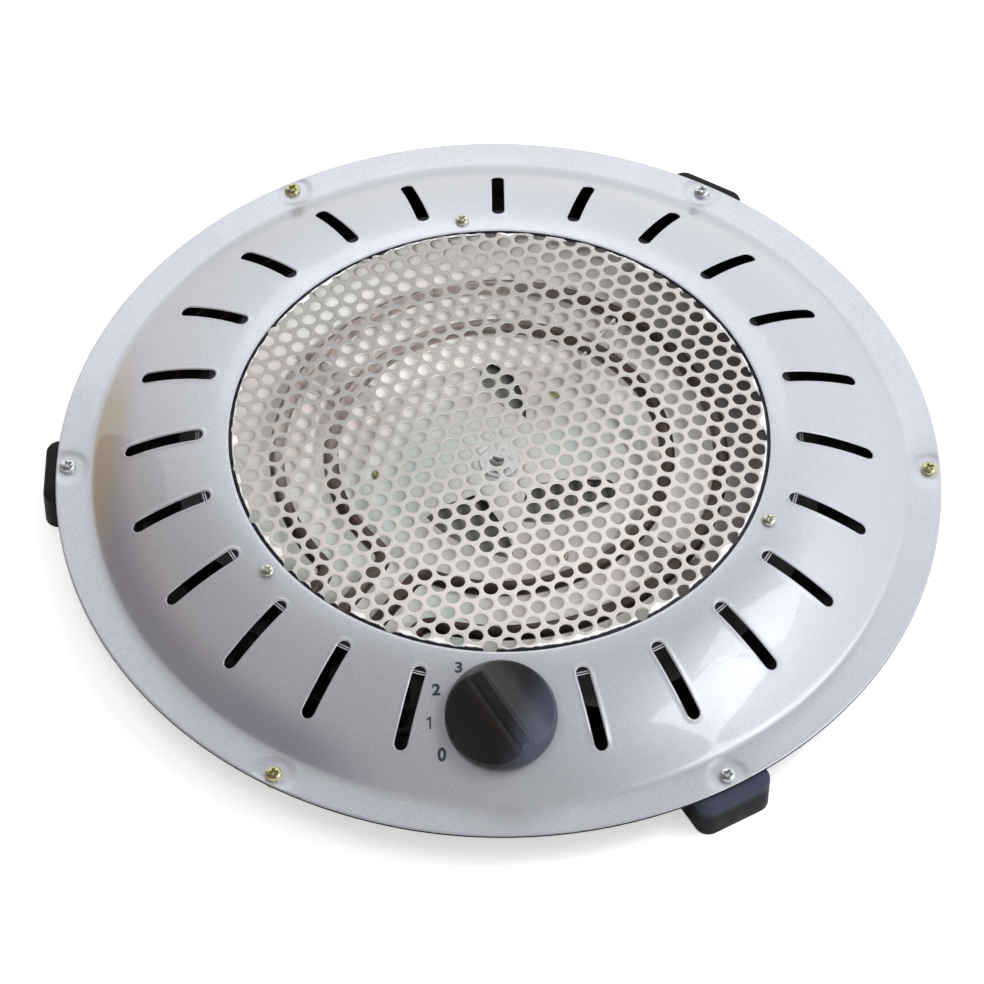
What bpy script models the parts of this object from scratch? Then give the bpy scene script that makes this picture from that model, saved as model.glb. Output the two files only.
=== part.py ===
"""Electric brazier: a round mains heater that stands on the floor under a table.

Lengths are in metres and angles in radians. Z is up, the floor is Z = 0, the
object's middle is X = Y = 0 and its selector knob faces -Y.
"""

import math

import bmesh
import bpy
from mathutils import Matrix, Vector

# Clearances
SEAT_GAP = 0.0003
CUT_OVERRUN = 0.002
WELD_DISTANCE = 0.00001

# Facets round a turned piece
SHELL_STEPS = 40
PIECE_STEPS = 26
COLLAR_STEPS = 12
FASTENER_STEPS = 6
HOLE_STEPS = 6

# Cover: a pressed ring with a flat flange and a dome up to its mouth
SHEET = 0.0006
RIM_RADIUS = 0.190
FLANGE_WIDTH = 0.0155
FLANGE_TOP = 0.0205
DOME_WIDTH = 0.0603
DOME_HEIGHT = 0.024
DOME_SHARES = (
    (0.0, 0.0),
    (0.12, 0.215),
    (0.25, 0.415),
    (0.51, 0.725),
    (0.80, 0.970),
    (1.0, 1.0),
)

# Vent slots in the dome
VENT_PLACES = 24
VENT_WIDTH = 0.0055
VENT_LENGTH = 0.0337
VENT_MARGIN = 0.0121
VENT_END_STEPS = 2

# Grille: a domed perforated sheet that steps down under the cover's mouth
GRILLE_SHEET = 0.0006
GRILLE_RISE = 0.0012
GRILLE_CROWN = 0.0026
GRILLE_BORDER = 0.0042
GRILLE_SHOULDER = 0.0014
GRILLE_FLANGE_MARGIN = 0.0034
HOLE_PITCH = 0.019
HOLE_ACROSS_FLATS = 0.0146
LATTICE_TURN = math.radians(15)
PLAIN_SIDE_TURN = math.radians(-50)
PLAIN_SIDE_WIDTH = 0.010
GRILLE_SCREW_INSET = 0.0078
GRILLE_SCREW_TURN = math.radians(97.5)

# Fixings of the grille
SMALL_HEAD_RADIUS = 0.0026
SMALL_HEAD_HEIGHT = 0.0018
SMALL_SHANK_RADIUS = 0.0014
SMALL_NUT_RADIUS = 0.0031
SMALL_NUT_HEIGHT = 0.0024
THREAD_CLEARANCE = 0.0003

# Fixings of the rim
RIM_SCREW_INSET = 0.005
RIM_SCREW_COUNT = 6
RIM_HEAD_RADIUS = 0.0035
RIM_HEAD_HEIGHT = 0.0025
RIM_SHANK_RADIUS = 0.0019
RIM_NUT_RADIUS = 0.0039
RIM_NUT_HEIGHT = 0.0032
SCREW_TAIL = 0.0015

# Base pan
PAN_WALL_INSET = 0.0035
PAN_WALL_LEAN = 0.004
PAN_DEPTH = 0.0144
PAN_STEP_INSET = 0.006
PAN_STEP_HEIGHT = 0.002
PAN_STEP_SLOPE = 0.004

# Feet
FOOT_WIDTH = 0.034
FOOT_OVERHANG = 0.0052
FOOT_BACK_GAP = 0.003
FOOT_CORNER_RADIUS = 0.006
FOOT_CORNER_STEPS = 4
FOOT_BEVEL = 0.0016
FOOT_WALL = 0.002
FOOT_ROOF = 0.0067
FOOT_BOSS_WIDTH = 0.010
FOOT_SCREW_BITE = 0.011

# Reflector: a dish with a raised middle
REFLECTOR_SHEET = 0.0005
REFLECTOR_TROUGH_LIFT = 0.0078
REFLECTOR_HUB_RISE = 0.011
REFLECTOR_HUB_RADIUS = 0.011
REFLECTOR_SEAT_RISE = 0.003
REFLECTOR_SEAT_INSET = 0.020
REFLECTOR_SEAT_WIDTH = 0.011
REFLECTOR_TROUGH_MARGIN = 0.0015
REFLECTOR_WALL_HEIGHT = 0.015
REFLECTOR_LAP = 0.0235
REFLECTOR_WALL_SHARES = ((0.48, 0.34), (1.0, 1.0))
REFLECTOR_SCREW_TURN = math.radians(61)
REFLECTOR_CUT_TURN = math.radians(244)
REFLECTOR_CUT_MARGIN = 0.005

# Leaf-shaped openings in the reflector. Each leaf runs outwards from tip to tip. A station gives how far
# out it lies, as a share of the seat's radius, and the turns in degrees of the leaf's two edges there.
LEAF_STATION_SHARES = (
    (
        (0.60, 67.5, 67.5),
        (0.70, 71.0, 87.0),
        (0.84, 75.0, 94.5),
        (0.98, 80.0, 98.0),
        (1.12, 85.0, 98.0),
        (1.22, 90.0, 96.5),
        (1.28, 94.0, 94.0),
    ),
    (
        (0.33, 246.0, 246.0),
        (0.38, 234.0, 255.0),
        (0.50, 223.5, 267.0),
        (0.62, 219.0, 275.0),
        (0.76, 218.0, 277.5),
        (0.80, 252.0, 277.5),
        (0.88, 277.5, 277.5),
    ),
    (
        (0.335, 318.0, 318.0),
        (0.38, 303.0, 332.0),
        (0.47, 293.0, 343.5),
        (0.58, 290.0, 351.5),
        (0.66, 306.0, 353.5),
        (0.78, 326.0, 355.5),
        (0.92, 339.0, 357.0),
        (1.00, 345.0, 352.5),
        (1.045, 347.5, 347.5),
    ),
)

# Middle bolt
BOLT_RADIUS = 0.0024
BOLT_HEAD_RADIUS = 0.0048
BOLT_HEAD_HEIGHT = 0.002
WASHER_RADIUS = 0.0085
WASHER_THICKNESS = 0.001
CENTRE_NUT_RADIUS = 0.0046
CENTRE_NUT_HEIGHT = 0.0032
SPACER_WALL = 0.002

# Ring elements
TUBE_RADIUS = 0.00325
ELEMENT_LIFT = 0.017
OUTER_ELEMENT_INSET = 0.0192
ELEMENT_SPACING = 0.023
ELEMENT_BEND = 0.008
ELEMENT_END_TURN = math.radians(236)
INNER_END_SPREAD = 0.008
OUTER_END_SPREAD = 0.024
ELEMENT_END_REACH = 0.0048
ELEMENT_RING_STEPS = 24
ELEMENT_BEND_STEPS = 3
ELEMENT_PLAY = 0.0007
PIN_SHARE = 0.46
PIN_LENGTH = 0.008
PIN_TAPER = 0.0006

# Supports of the elements
CLIP_COUNT = 3
CLIP_SHEET = 0.001
CLIP_MARGIN = 0.003
CLIP_TOP_LIFT = 0.0015
CLIP_FOOT_WIDTH = 0.007
BRACKET_INSET = 0.006
BRACKET_MARGIN = 0.007
BRACKET_FOOT_WIDTH = 0.010

# Knob and switch
KNOB_INSET = 0.0291
KNOB_LIFT = 0.0008
KNOB_RADIUS = 0.02305
KNOB_HEIGHT = 0.0135
KNOB_SKIRT = 0.0022
KNOB_TOP_INSET = 0.00455
KNOB_EDGE_INSET = 0.00085
KNOB_EDGE_HEIGHT = 0.0046
KNOB_CAVITY_HEIGHT = 0.0022
KNOB_WALL = 0.0018
KNOB_BOSS_WALL = 0.003
GRIP_WIDTH = 0.005
GRIP_TURN = math.radians(125)
SCOOP_RIM = 0.00155
SCOOP_FLOOR = 0.0042
SCOOP_STEPS = 6
SHAFT_RADIUS = 0.003
SHAFT_FLAT = 0.0012
SHAFT_BITE = 0.009
SOCKET_ROOF = 0.0038
SWITCH_SIZE = 0.028
SWITCH_DEPTH = 0.020
SWITCH_COLLAR_WALL = 0.0018
SWITCH_COLLAR_HEIGHT = 0.0018
SWITCH_BOSS_WALL = 0.0011
SWITCH_SCREW_SPREAD = 0.0105
SWITCH_TAB_SIZE = (0.006, 0.0008, 0.0048)
SWITCH_TAB_SPREAD = 0.008
SWITCH_TAB_DROP = 0.012

# Wiring
WIRE_RADIUS = 0.0013
WIRE_STEPS = 2
WIRE_RUN = 0.0045
WIRE_SPACING = 0.007
LINK_SHEET = 0.0008
LINK_MARGIN = 0.0025
BLOCK_SIZE = (0.030, 0.012, 0.013)
BLOCK_TURN = math.radians(90)
GROMMET_BORE = 0.0033
GROMMET_WALL = 0.0011
GROMMET_GROOVE_DEPTH = 0.0014
GROMMET_FLANGE = 0.0016
CUTOUT_TURN = math.radians(205)
CUTOUT_RADIUS = 0.008
CUTOUT_HEIGHT = 0.007
CUTOUT_BASE = 0.0015
CUTOUT_BASE_RADIUS = 0.0105
EARTH_TURN = math.radians(76)
LANE_INSET = 0.0146
RETURN_LANE_GAP = 0.0029

# Worked out from the sizes above
CREASE_RADIUS = RIM_RADIUS - FLANGE_WIDTH
MOUTH_RADIUS = CREASE_RADIUS - DOME_WIDTH
MOUTH_TOP = FLANGE_TOP + DOME_HEIGHT
SCREW_CIRCLE = RIM_RADIUS - RIM_SCREW_INSET
GRILLE_SCREW_CIRCLE = MOUTH_RADIUS + GRILLE_SCREW_INSET
PAN_FLANGE_TOP = FLANGE_TOP - SHEET - SEAT_GAP
PAN_FLANGE_UNDERSIDE = PAN_FLANGE_TOP - SHEET
PAN_WALL_TOP_RADIUS = CREASE_RADIUS - PAN_WALL_INSET
PAN_WALL_FOOT_RADIUS = PAN_WALL_TOP_RADIUS - PAN_WALL_LEAN
FOOT_HEIGHT = PAN_FLANGE_UNDERSIDE - SEAT_GAP
PAN_FLOOR_TOP = PAN_FLANGE_TOP - PAN_DEPTH
OUTER_ELEMENT_RADIUS = MOUTH_RADIUS - OUTER_ELEMENT_INSET
INNER_ELEMENT_RADIUS = OUTER_ELEMENT_RADIUS - ELEMENT_SPACING
ELEMENT_END_DISTANCE = MOUTH_RADIUS + ELEMENT_END_REACH
PAN_STEP_RADIUS = INNER_ELEMENT_RADIUS - PAN_STEP_INSET
REFLECTOR_RADIUS = MOUTH_RADIUS + REFLECTOR_LAP
REFLECTOR_SEAT_RADIUS = INNER_ELEMENT_RADIUS - REFLECTOR_SEAT_INSET
REFLECTOR_CUT_DISTANCE = OUTER_ELEMENT_RADIUS + REFLECTOR_CUT_MARGIN
REFLECTOR_TROUGH_TOP = PAN_FLOOR_TOP + REFLECTOR_TROUGH_LIFT
REFLECTOR_SEAT_TOP = REFLECTOR_TROUGH_TOP + REFLECTOR_SEAT_RISE
REFLECTOR_HUB_TOP = REFLECTOR_TROUGH_TOP + REFLECTOR_HUB_RISE
ELEMENT_HEIGHT = REFLECTOR_TROUGH_TOP + ELEMENT_LIFT
KNOB_CIRCLE = MOUTH_RADIUS + KNOB_INSET
KNOB_TOP = KNOB_LIFT + KNOB_HEIGHT
KNOB_BOSS_RADIUS = SHAFT_RADIUS + KNOB_BOSS_WALL
SOCKET_DEPTH = KNOB_TOP - SOCKET_ROOF
SWITCH_COLLAR_RADIUS = SHAFT_RADIUS + SWITCH_COLLAR_WALL
SWITCH_BOSS_RADIUS = SMALL_SHANK_RADIUS + THREAD_CLEARANCE + SWITCH_BOSS_WALL
GROMMET_GROOVE_RADIUS = GROMMET_BORE + GROMMET_WALL
GROMMET_FLANGE_RADIUS = GROMMET_GROOVE_RADIUS + GROMMET_GROOVE_DEPTH
WIRE_LANE = PAN_WALL_FOOT_RADIUS - LANE_INSET
RETURN_LANE = WIRE_LANE - CUTOUT_BASE_RADIUS - WIRE_RADIUS - RETURN_LANE_GAP
WIRE_HEIGHT = PAN_FLOOR_TOP + SEAT_GAP + WIRE_RADIUS

# Finishes: base colour, roughness, metallic
FINISHES = {
    "cover_paint": ((0.62, 0.64, 0.68), 0.28, 0.1),
    "grille_zinc": ((0.80, 0.80, 0.76), 0.22, 1.0),
    "black_enamel": ((0.012, 0.012, 0.014), 0.35, 0.0),
    "black_plastic": ((0.022, 0.022, 0.024), 0.42, 0.0),
    "white_zinc": ((0.70, 0.71, 0.72), 0.30, 1.0),
    "yellow_zinc": ((0.62, 0.55, 0.34), 0.32, 1.0),
    "bright_reflector": ((0.82, 0.80, 0.77), 0.12, 1.0),
    "element_sheath": ((0.20, 0.13, 0.10), 0.45, 0.8),
    "pale_ceramic": ((0.80, 0.76, 0.68), 0.60, 0.0),
    "switch_plastic": ((0.70, 0.66, 0.58), 0.50, 0.0),
    "grey_rubber": ((0.05, 0.05, 0.055), 0.70, 0.0),
    "wire_brown": ((0.16, 0.07, 0.03), 0.55, 0.0),
    "wire_blue": ((0.05, 0.12, 0.35), 0.55, 0.0),
    "wire_white": ((0.75, 0.74, 0.70), 0.60, 0.0),
    "wire_green": ((0.25, 0.42, 0.05), 0.55, 0.0),
}


def clear_scene():
    """Remove whatever the file opened with."""
    for old in list(bpy.data.objects):
        bpy.data.objects.remove(old, do_unlink=True)


def collection(name):
    """A new collection in the scene."""
    made = bpy.data.collections.new(name)
    bpy.context.scene.collection.children.link(made)
    return made


def finish(name):
    """The material of that finish, made once."""
    if name in bpy.data.materials:
        return bpy.data.materials[name]
    colour, roughness, metallic = FINISHES[name]
    made = bpy.data.materials.new(name)
    made.use_nodes = True
    shader = made.node_tree.nodes["Principled BSDF"]
    shader.inputs["Base Color"].default_value = (*colour, 1.0)
    shader.inputs["Roughness"].default_value = roughness
    shader.inputs["Metallic"].default_value = metallic
    made.diffuse_color = (*colour, 1.0)
    return made


def place(name, data, finish_name, matrix=None):
    """A part from its mesh or curve, in the object's collection."""
    made = bpy.data.objects.new(name, data)
    data.materials.append(finish(finish_name))
    PARTS.objects.link(made)
    if matrix is not None:
        made.matrix_world = matrix
    return made


def cutter(name, data, matrix=None):
    """A cutter from its mesh."""
    made = bpy.data.objects.new(name, data)
    CUTTERS.objects.link(made)
    made.hide_render = True
    made.display_type = "WIRE"
    if matrix is not None:
        made.matrix_world = matrix
    return made


def boolean(part, other, operation="DIFFERENCE"):
    """Cut a part by another shape, or join that shape to it."""
    step = part.modifiers.new(other.name, "BOOLEAN")
    step.operation = operation
    step.solver = "EXACT"
    step.object = other


def flat_mesh(outlines, thickness, base=0.0):
    """Closed outlines filled in the XY plane and given a thickness from the height base upwards."""
    curve = bpy.data.curves.new("outline", "CURVE")
    curve.dimensions = "2D"
    curve.fill_mode = "BOTH"
    curve.extrude = thickness / 2
    for outline in outlines:
        spline = curve.splines.new("POLY")
        spline.points.add(len(outline) - 1)
        spline.use_cyclic_u = True
        for point, (x, y) in zip(spline.points, outline):
            point.co = (x, y, 0.0, 1.0)
    holder = bpy.data.objects.new("outline", curve)
    bpy.context.scene.collection.objects.link(holder)
    graph = bpy.context.evaluated_depsgraph_get()
    made = bpy.data.meshes.new_from_object(holder.evaluated_get(graph))
    bpy.data.objects.remove(holder, do_unlink=True)
    bpy.data.curves.remove(curve)
    shape = bmesh.new()
    shape.from_mesh(made)
    bmesh.ops.remove_doubles(shape, verts=shape.verts, dist=WELD_DISTANCE)
    if thickness:
        bmesh.ops.recalc_face_normals(shape, faces=shape.faces)
    bmesh.ops.translate(shape, verts=shape.verts, vec=(0.0, 0.0, base + thickness / 2))
    shape.to_mesh(made)
    shape.free()
    return made


def circle(radius, steps, centre=(0.0, 0.0), start=0.0):
    """Points round a circle."""
    turns = [start + 2 * math.pi * i / steps for i in range(steps)]
    return [(centre[0] + radius * math.cos(t), centre[1] + radius * math.sin(t)) for t in turns]


def arc(centre, radius, first, last, steps):
    """Points along an arc, both ends included."""
    turns = [first + (last - first) * i / steps for i in range(steps + 1)]
    return [(centre[0] + radius * math.cos(t), centre[1] + radius * math.sin(t)) for t in turns]


def turned_points(points, turn):
    """Points of the plane turned about the middle."""
    c, s = math.cos(turn), math.sin(turn)
    return [(x * c - y * s, x * s + y * c) for x, y in points]


def rectangle(width, depth, centre=(0.0, 0.0)):
    """Corners of a rectangle."""
    x, y = width / 2, depth / 2
    return [(centre[0] + a * x, centre[1] + b * y) for a, b in ((-1, -1), (1, -1), (1, 1), (-1, 1))]


def spun(made, steps):
    """Turn a profile in the XZ plane all the way round Z."""
    turn = made.modifiers.new("turn", "SCREW")
    turn.axis = "Z"
    turn.steps = steps
    turn.render_steps = steps
    turn.use_merge_vertices = True
    turn.merge_threshold = WELD_DISTANCE
    turn.use_smooth_shade = False
    return made


def profile_mesh(profile, closed):
    """A mesh of edges through (radius, height) points."""
    made = bpy.data.meshes.new("profile")
    edges = [(i, i + 1) for i in range(len(profile) - 1)]
    if closed:
        edges.append((len(profile) - 1, 0))
    made.from_pydata([(r, 0.0, z) for r, z in profile], edges, [])
    return made


def turned(name, profile, finish_name, steps=PIECE_STEPS, matrix=None, closed=False):
    """A solid turned from a profile that runs down its outer side."""
    return spun(place(name, profile_mesh(profile, closed), finish_name, matrix), steps)


def turned_cutter(name, profile, steps=HOLE_STEPS, matrix=None):
    """A turned cutter."""
    return spun(cutter(name, profile_mesh(profile, False), matrix), steps)


def pressed(name, profile, thickness, finish_name, steps=SHELL_STEPS):
    """Sheet metal turned from the profile of its upper face, which runs outwards."""
    made = turned(name, profile, finish_name, steps)
    wall = made.modifiers.new("sheet", "SOLIDIFY")
    wall.thickness = thickness
    wall.offset = -1.0
    wall.use_even_offset = True
    return made


def rod_profile(radius, low, high):
    """Half section of a plain cylinder."""
    return [(0.0, high), (radius, high), (radius, low), (0.0, low)]


def ring_profile(inner, outer, low, high):
    """Section of a plain ring."""
    return [(inner, high), (outer, high), (outer, low), (inner, low)]


def screw_profile(head_radius, head_height, shank_radius, length):
    """Half section of a pan-head screw whose head rests on height zero."""
    return [
        (0.0, head_height),
        (head_radius * 0.6, head_height * 0.94),
        (head_radius, head_height * 0.5),
        (head_radius, 0.0),
        (shank_radius, 0.0),
        (shank_radius, -length),
        (0.0, -length),
    ]


def about_z(turn):
    """A turn about the vertical."""
    return Matrix.Rotation(turn, 4, "Z")


def at(x=0.0, y=0.0, z=0.0):
    """A move."""
    return Matrix.Translation((x, y, z))


def on_circle(radius, turn, height=0.0):
    """A place on a circle round the middle, with +X pointing outwards."""
    return about_z(turn) @ at(radius, 0.0, height)


def ring_places(radius, count, start):
    """Turns of places spread evenly round a circle, with the points that they give."""
    turns = [start + 2 * math.pi * i / count for i in range(count)]
    return [(turn, (radius * math.cos(turn), radius * math.sin(turn))) for turn in turns]


def height_on(points, radius):
    """Height at a radius on a profile of straight stretches that runs outwards."""
    for (r0, z0), (r1, z1) in zip(points, points[1:]):
        if radius <= r1:
            return z0 + (z1 - z0) * (radius - r0) / (r1 - r0)
    return points[-1][1]


def cover_profile():
    """Upper face of the cover, from its mouth out to its rim."""
    width = CREASE_RADIUS - MOUTH_RADIUS
    dome = [(CREASE_RADIUS - along * width, FLANGE_TOP + up * DOME_HEIGHT) for along, up in DOME_SHARES]
    return dome[::-1] + [(RIM_RADIUS, FLANGE_TOP)]


def cover_top(radius):
    """Height of the cover's upper face."""
    return height_on(cover_profile(), radius)


def knob_tilt():
    """How far the dome leans under the knob."""
    inner, outer = KNOB_CIRCLE - SHAFT_RADIUS * 2, KNOB_CIRCLE + SHAFT_RADIUS * 2
    return math.atan2(cover_top(inner) - cover_top(outer), outer - inner)


def knob_frame():
    """Middle of the knob on the dome: Z points out of the cover and X to the right."""
    place_on_dome = at(0.0, -KNOB_CIRCLE, cover_top(KNOB_CIRCLE))
    return place_on_dome @ Matrix.Rotation(knob_tilt(), 4, "X")


def rim_screws():
    """Turns of the rim's screws: the even ones hold the cover to the pan, the odd ones go into the feet."""
    return [2 * math.pi * i / RIM_SCREW_COUNT for i in range(RIM_SCREW_COUNT)]


def foot_turns():
    """Turns of the three feet."""
    return rim_screws()[1::2]


def vent_outlines():
    """Slots with round ends, one at each place but the knob's."""
    half = VENT_WIDTH / 2
    first = MOUTH_RADIUS + VENT_MARGIN + half
    last = first + VENT_LENGTH - VENT_WIDTH
    slot = arc((last, 0.0), half, -math.pi / 2, math.pi / 2, VENT_END_STEPS)
    slot += arc((first, 0.0), half, math.pi / 2, 3 * math.pi / 2, VENT_END_STEPS)
    knob_place = 3 * VENT_PLACES // 4
    places = [i for i in range(VENT_PLACES) if i != knob_place]
    return [turned_points(slot, 2 * math.pi * i / VENT_PLACES) for i in places]


def screw_holes(shank_radius, radius, turns):
    """Outlines of clearance holes on a circle."""
    centres = [(radius * math.cos(t), radius * math.sin(t)) for t in turns]
    return [circle(shank_radius + THREAD_CLEARANCE, HOLE_STEPS, centre) for centre in centres]


def grille_screws():
    """Turns of the grille's three screws."""
    return [turn for turn, _ in ring_places(GRILLE_SCREW_CIRCLE, 3, GRILLE_SCREW_TURN)]


def make_cover():
    """Pressed cover with its slots, screw holes and the holes for the switch."""
    cover = pressed("top_cover", cover_profile(), SHEET, "cover_paint")
    outlines = vent_outlines()
    outlines += screw_holes(RIM_SHANK_RADIUS, SCREW_CIRCLE, rim_screws())
    outlines += screw_holes(SMALL_SHANK_RADIUS, GRILLE_SCREW_CIRCLE, grille_screws())
    tall = DOME_HEIGHT + 2 * CUT_OVERRUN
    boolean(cover, cutter("cover_cuts", flat_mesh(outlines, tall, FLANGE_TOP - CUT_OVERRUN)))
    holes = [circle(SHAFT_RADIUS + SEAT_GAP, COLLAR_STEPS)]
    for side in (-1, 1):
        middle = (side * SWITCH_SCREW_SPREAD, 0.0)
        holes.append(circle(SMALL_SHANK_RADIUS + THREAD_CLEARANCE, HOLE_STEPS, middle))
    through = flat_mesh(holes, 2 * CUT_OVERRUN, -CUT_OVERRUN)
    boolean(cover, cutter("switch_holes", through, knob_frame()))


def pan_profile():
    """Upper face of the pan, from its middle hole out to its rim."""
    raised = PAN_FLOOR_TOP + PAN_STEP_HEIGHT
    return [
        (BOLT_RADIUS + THREAD_CLEARANCE, raised),
        (PAN_STEP_RADIUS, raised),
        (PAN_STEP_RADIUS + PAN_STEP_SLOPE, PAN_FLOOR_TOP),
        (PAN_WALL_FOOT_RADIUS, PAN_FLOOR_TOP),
        (PAN_WALL_TOP_RADIUS, PAN_FLANGE_TOP),
        (RIM_RADIUS, PAN_FLANGE_TOP),
    ]


def reflector_screws():
    """Turns of the reflector's three screws, which lie between its leaf openings."""
    return [turn for turn, _ in ring_places(REFLECTOR_SEAT_RADIUS, 3, REFLECTOR_SCREW_TURN)]


def make_pan():
    """Black dish that carries everything, with its screw holes and the hole for the cord's grommet."""
    pan = pressed("base_pan", pan_profile(), SHEET, "black_enamel")
    outlines = screw_holes(RIM_SHANK_RADIUS, SCREW_CIRCLE, rim_screws())
    outlines += screw_holes(SMALL_SHANK_RADIUS, REFLECTOR_SEAT_RADIUS, reflector_screws())
    outlines += screw_holes(SMALL_SHANK_RADIUS, WIRE_LANE, [EARTH_TURN])
    tall = PAN_FLANGE_TOP + CUT_OVERRUN
    boolean(pan, cutter("pan_cuts", flat_mesh(outlines, tall)))
    hole = rod_profile(GROMMET_GROOVE_RADIUS + SEAT_GAP, -CUT_OVERRUN, CUT_OVERRUN)
    boolean(pan, turned_cutter("grommet_hole", hole, COLLAR_STEPS, grommet_frame()))


def grommet_frame():
    """Middle of the pan's wall at the cord's inlet: Z points out through the wall."""
    radius = (PAN_WALL_FOOT_RADIUS + PAN_WALL_TOP_RADIUS) / 2
    height = (PAN_FLOOR_TOP + PAN_FLANGE_TOP) / 2
    lean = math.atan2(PAN_WALL_LEAN, PAN_FLANGE_TOP - PAN_FLOOR_TOP)
    return on_circle(radius, BLOCK_TURN, height) @ Matrix.Rotation(math.pi / 2 + lean, 4, "Y")


def grille_height(radius):
    """Height of the grille's domed face: a parabola from its crown down to its border."""
    share = radius / (MOUTH_RADIUS - GRILLE_BORDER)
    return MOUTH_TOP + GRILLE_RISE + GRILLE_CROWN * (1 - share * share)


def grille_border():
    """The grille's upper face past its dome: over a shoulder, down the mouth, out under the cover."""
    wall = MOUTH_RADIUS - 2 * SEAT_GAP
    under = SHEET + SEAT_GAP
    flange = GRILLE_SCREW_CIRCLE + GRILLE_FLANGE_MARGIN
    return [
        (wall - GRILLE_SHOULDER, MOUTH_TOP + GRILLE_RISE - SEAT_GAP),
        (wall, MOUTH_TOP),
        (wall + SEAT_GAP, cover_top(MOUTH_RADIUS) - under - SEAT_GAP),
        (flange, cover_top(flange) - under),
    ]


def grille_holes():
    """Centres of the holes: a triangular lattice inside a circle, with one side left plain."""
    reach = MOUTH_RADIUS - GRILLE_BORDER - HOLE_ACROSS_FLATS * 0.62
    count = int(reach / HOLE_PITCH) + 2
    row = HOLE_PITCH * math.sqrt(3) / 2
    lattice = [
        ((i + (j % 2) / 2) * HOLE_PITCH, j * row)
        for j in range(-count, count + 1)
        for i in range(-count - 1, count + 1)
    ]
    plain = (math.cos(PLAIN_SIDE_TURN), math.sin(PLAIN_SIDE_TURN))
    centres = turned_points(lattice, LATTICE_TURN)
    return [
        (x, y)
        for x, y in centres
        if math.hypot(x, y) < reach and x * plain[0] + y * plain[1] < reach - PLAIN_SIDE_WIDTH
    ]


def make_grille():
    """Perforated dome with its border, made as one sheet and then given its thickness."""
    edge = MOUTH_RADIUS - GRILLE_BORDER
    corner = HOLE_ACROSS_FLATS / math.sqrt(3)
    outlines = [circle(edge, SHELL_STEPS)]
    outlines += [circle(corner, 6, centre, LATTICE_TURN + math.pi / 6) for centre in grille_holes()]
    mesh = flat_mesh(outlines, 0.0)
    shape = bmesh.new()
    shape.from_mesh(mesh)
    for vert in shape.verts:
        vert.co.z = grille_height(vert.co.xy.length)
    near_edge = edge - WELD_DISTANCE
    rim = [e for e in shape.edges if e.is_boundary and min(v.co.xy.length for v in e.verts) > near_edge]
    for radius, height in grille_border():
        grown = bmesh.ops.extrude_edge_only(shape, edges=rim)["geom"]
        rim = [e for e in grown if isinstance(e, bmesh.types.BMEdge)]
        for vert in [v for v in grown if isinstance(v, bmesh.types.BMVert)]:
            vert.co.xy *= radius / vert.co.xy.length
            vert.co.z = height
    bmesh.ops.recalc_face_normals(shape, faces=shape.faces)
    if sum(face.normal.z * face.calc_area() for face in shape.faces) < 0:
        bmesh.ops.reverse_faces(shape, faces=shape.faces)
    shape.to_mesh(mesh)
    shape.free()
    grille = place("grille", mesh, "grille_zinc")
    wall = grille.modifiers.new("sheet", "SOLIDIFY")
    wall.thickness = GRILLE_SHEET
    wall.offset = -1.0
    outlines = screw_holes(SMALL_SHANK_RADIUS, GRILLE_SCREW_CIRCLE, grille_screws())
    holes = flat_mesh(outlines, DOME_HEIGHT, FLANGE_TOP + CUT_OVERRUN)
    boolean(grille, cutter("grille_cuts", holes))


def hexagon_nut(name, across_radius, height, bore, finish_name, matrix):
    """A nut with its upper face at height zero of its place."""
    outlines = [circle(across_radius, 6), circle(bore, HOLE_STEPS)]
    place(name, flat_mesh(outlines, height, -height), finish_name, matrix)


def make_grille_fixings():
    """Screws and nuts that clamp the grille's flange under the cover."""
    inner = GRILLE_SCREW_CIRCLE - SMALL_HEAD_RADIUS
    outer = GRILLE_SCREW_CIRCLE + SMALL_NUT_RADIUS
    head = cover_top(inner) + SEAT_GAP
    nut = cover_top(outer) - SHEET - GRILLE_SHEET - 2 * SEAT_GAP
    length = head - nut + SMALL_NUT_HEIGHT + SCREW_TAIL
    profile = screw_profile(SMALL_HEAD_RADIUS, SMALL_HEAD_HEIGHT, SMALL_SHANK_RADIUS, length)
    bore = SMALL_SHANK_RADIUS + THREAD_CLEARANCE
    for i, turn in enumerate(grille_screws(), 1):
        seat = on_circle(GRILLE_SCREW_CIRCLE, turn, head)
        turned(f"grille_screw_{i}", profile, "yellow_zinc", FASTENER_STEPS, seat)
        seat = on_circle(GRILLE_SCREW_CIRCLE, turn, nut)
        hexagon_nut(f"grille_nut_{i}", SMALL_NUT_RADIUS, SMALL_NUT_HEIGHT, bore, "white_zinc", seat)


def make_rim_fixings():
    """Screws round the flange: three into the feet, and three with nuts under the pan's flange."""
    head = FLANGE_TOP + SEAT_GAP
    nut = PAN_FLANGE_UNDERSIDE - SEAT_GAP
    to_nut = head - nut + RIM_NUT_HEIGHT + SCREW_TAIL
    to_foot = head - FOOT_HEIGHT + FOOT_SCREW_BITE
    bore = RIM_SHANK_RADIUS + THREAD_CLEARANCE
    for i, turn in enumerate(rim_screws()):
        at_foot = i % 2 == 1
        length = to_foot if at_foot else to_nut
        profile = screw_profile(RIM_HEAD_RADIUS, RIM_HEAD_HEIGHT, RIM_SHANK_RADIUS, length)
        seat = on_circle(SCREW_CIRCLE, turn, head)
        colour = "white_zinc" if at_foot else "yellow_zinc"
        turned(f"rim_screw_{i + 1}", profile, colour, FASTENER_STEPS, seat)
        if not at_foot:
            seat = on_circle(SCREW_CIRCLE, turn, nut)
            hexagon_nut(f"rim_nut_{i // 2 + 1}", RIM_NUT_RADIUS, RIM_NUT_HEIGHT, bore, "yellow_zinc", seat)


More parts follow.
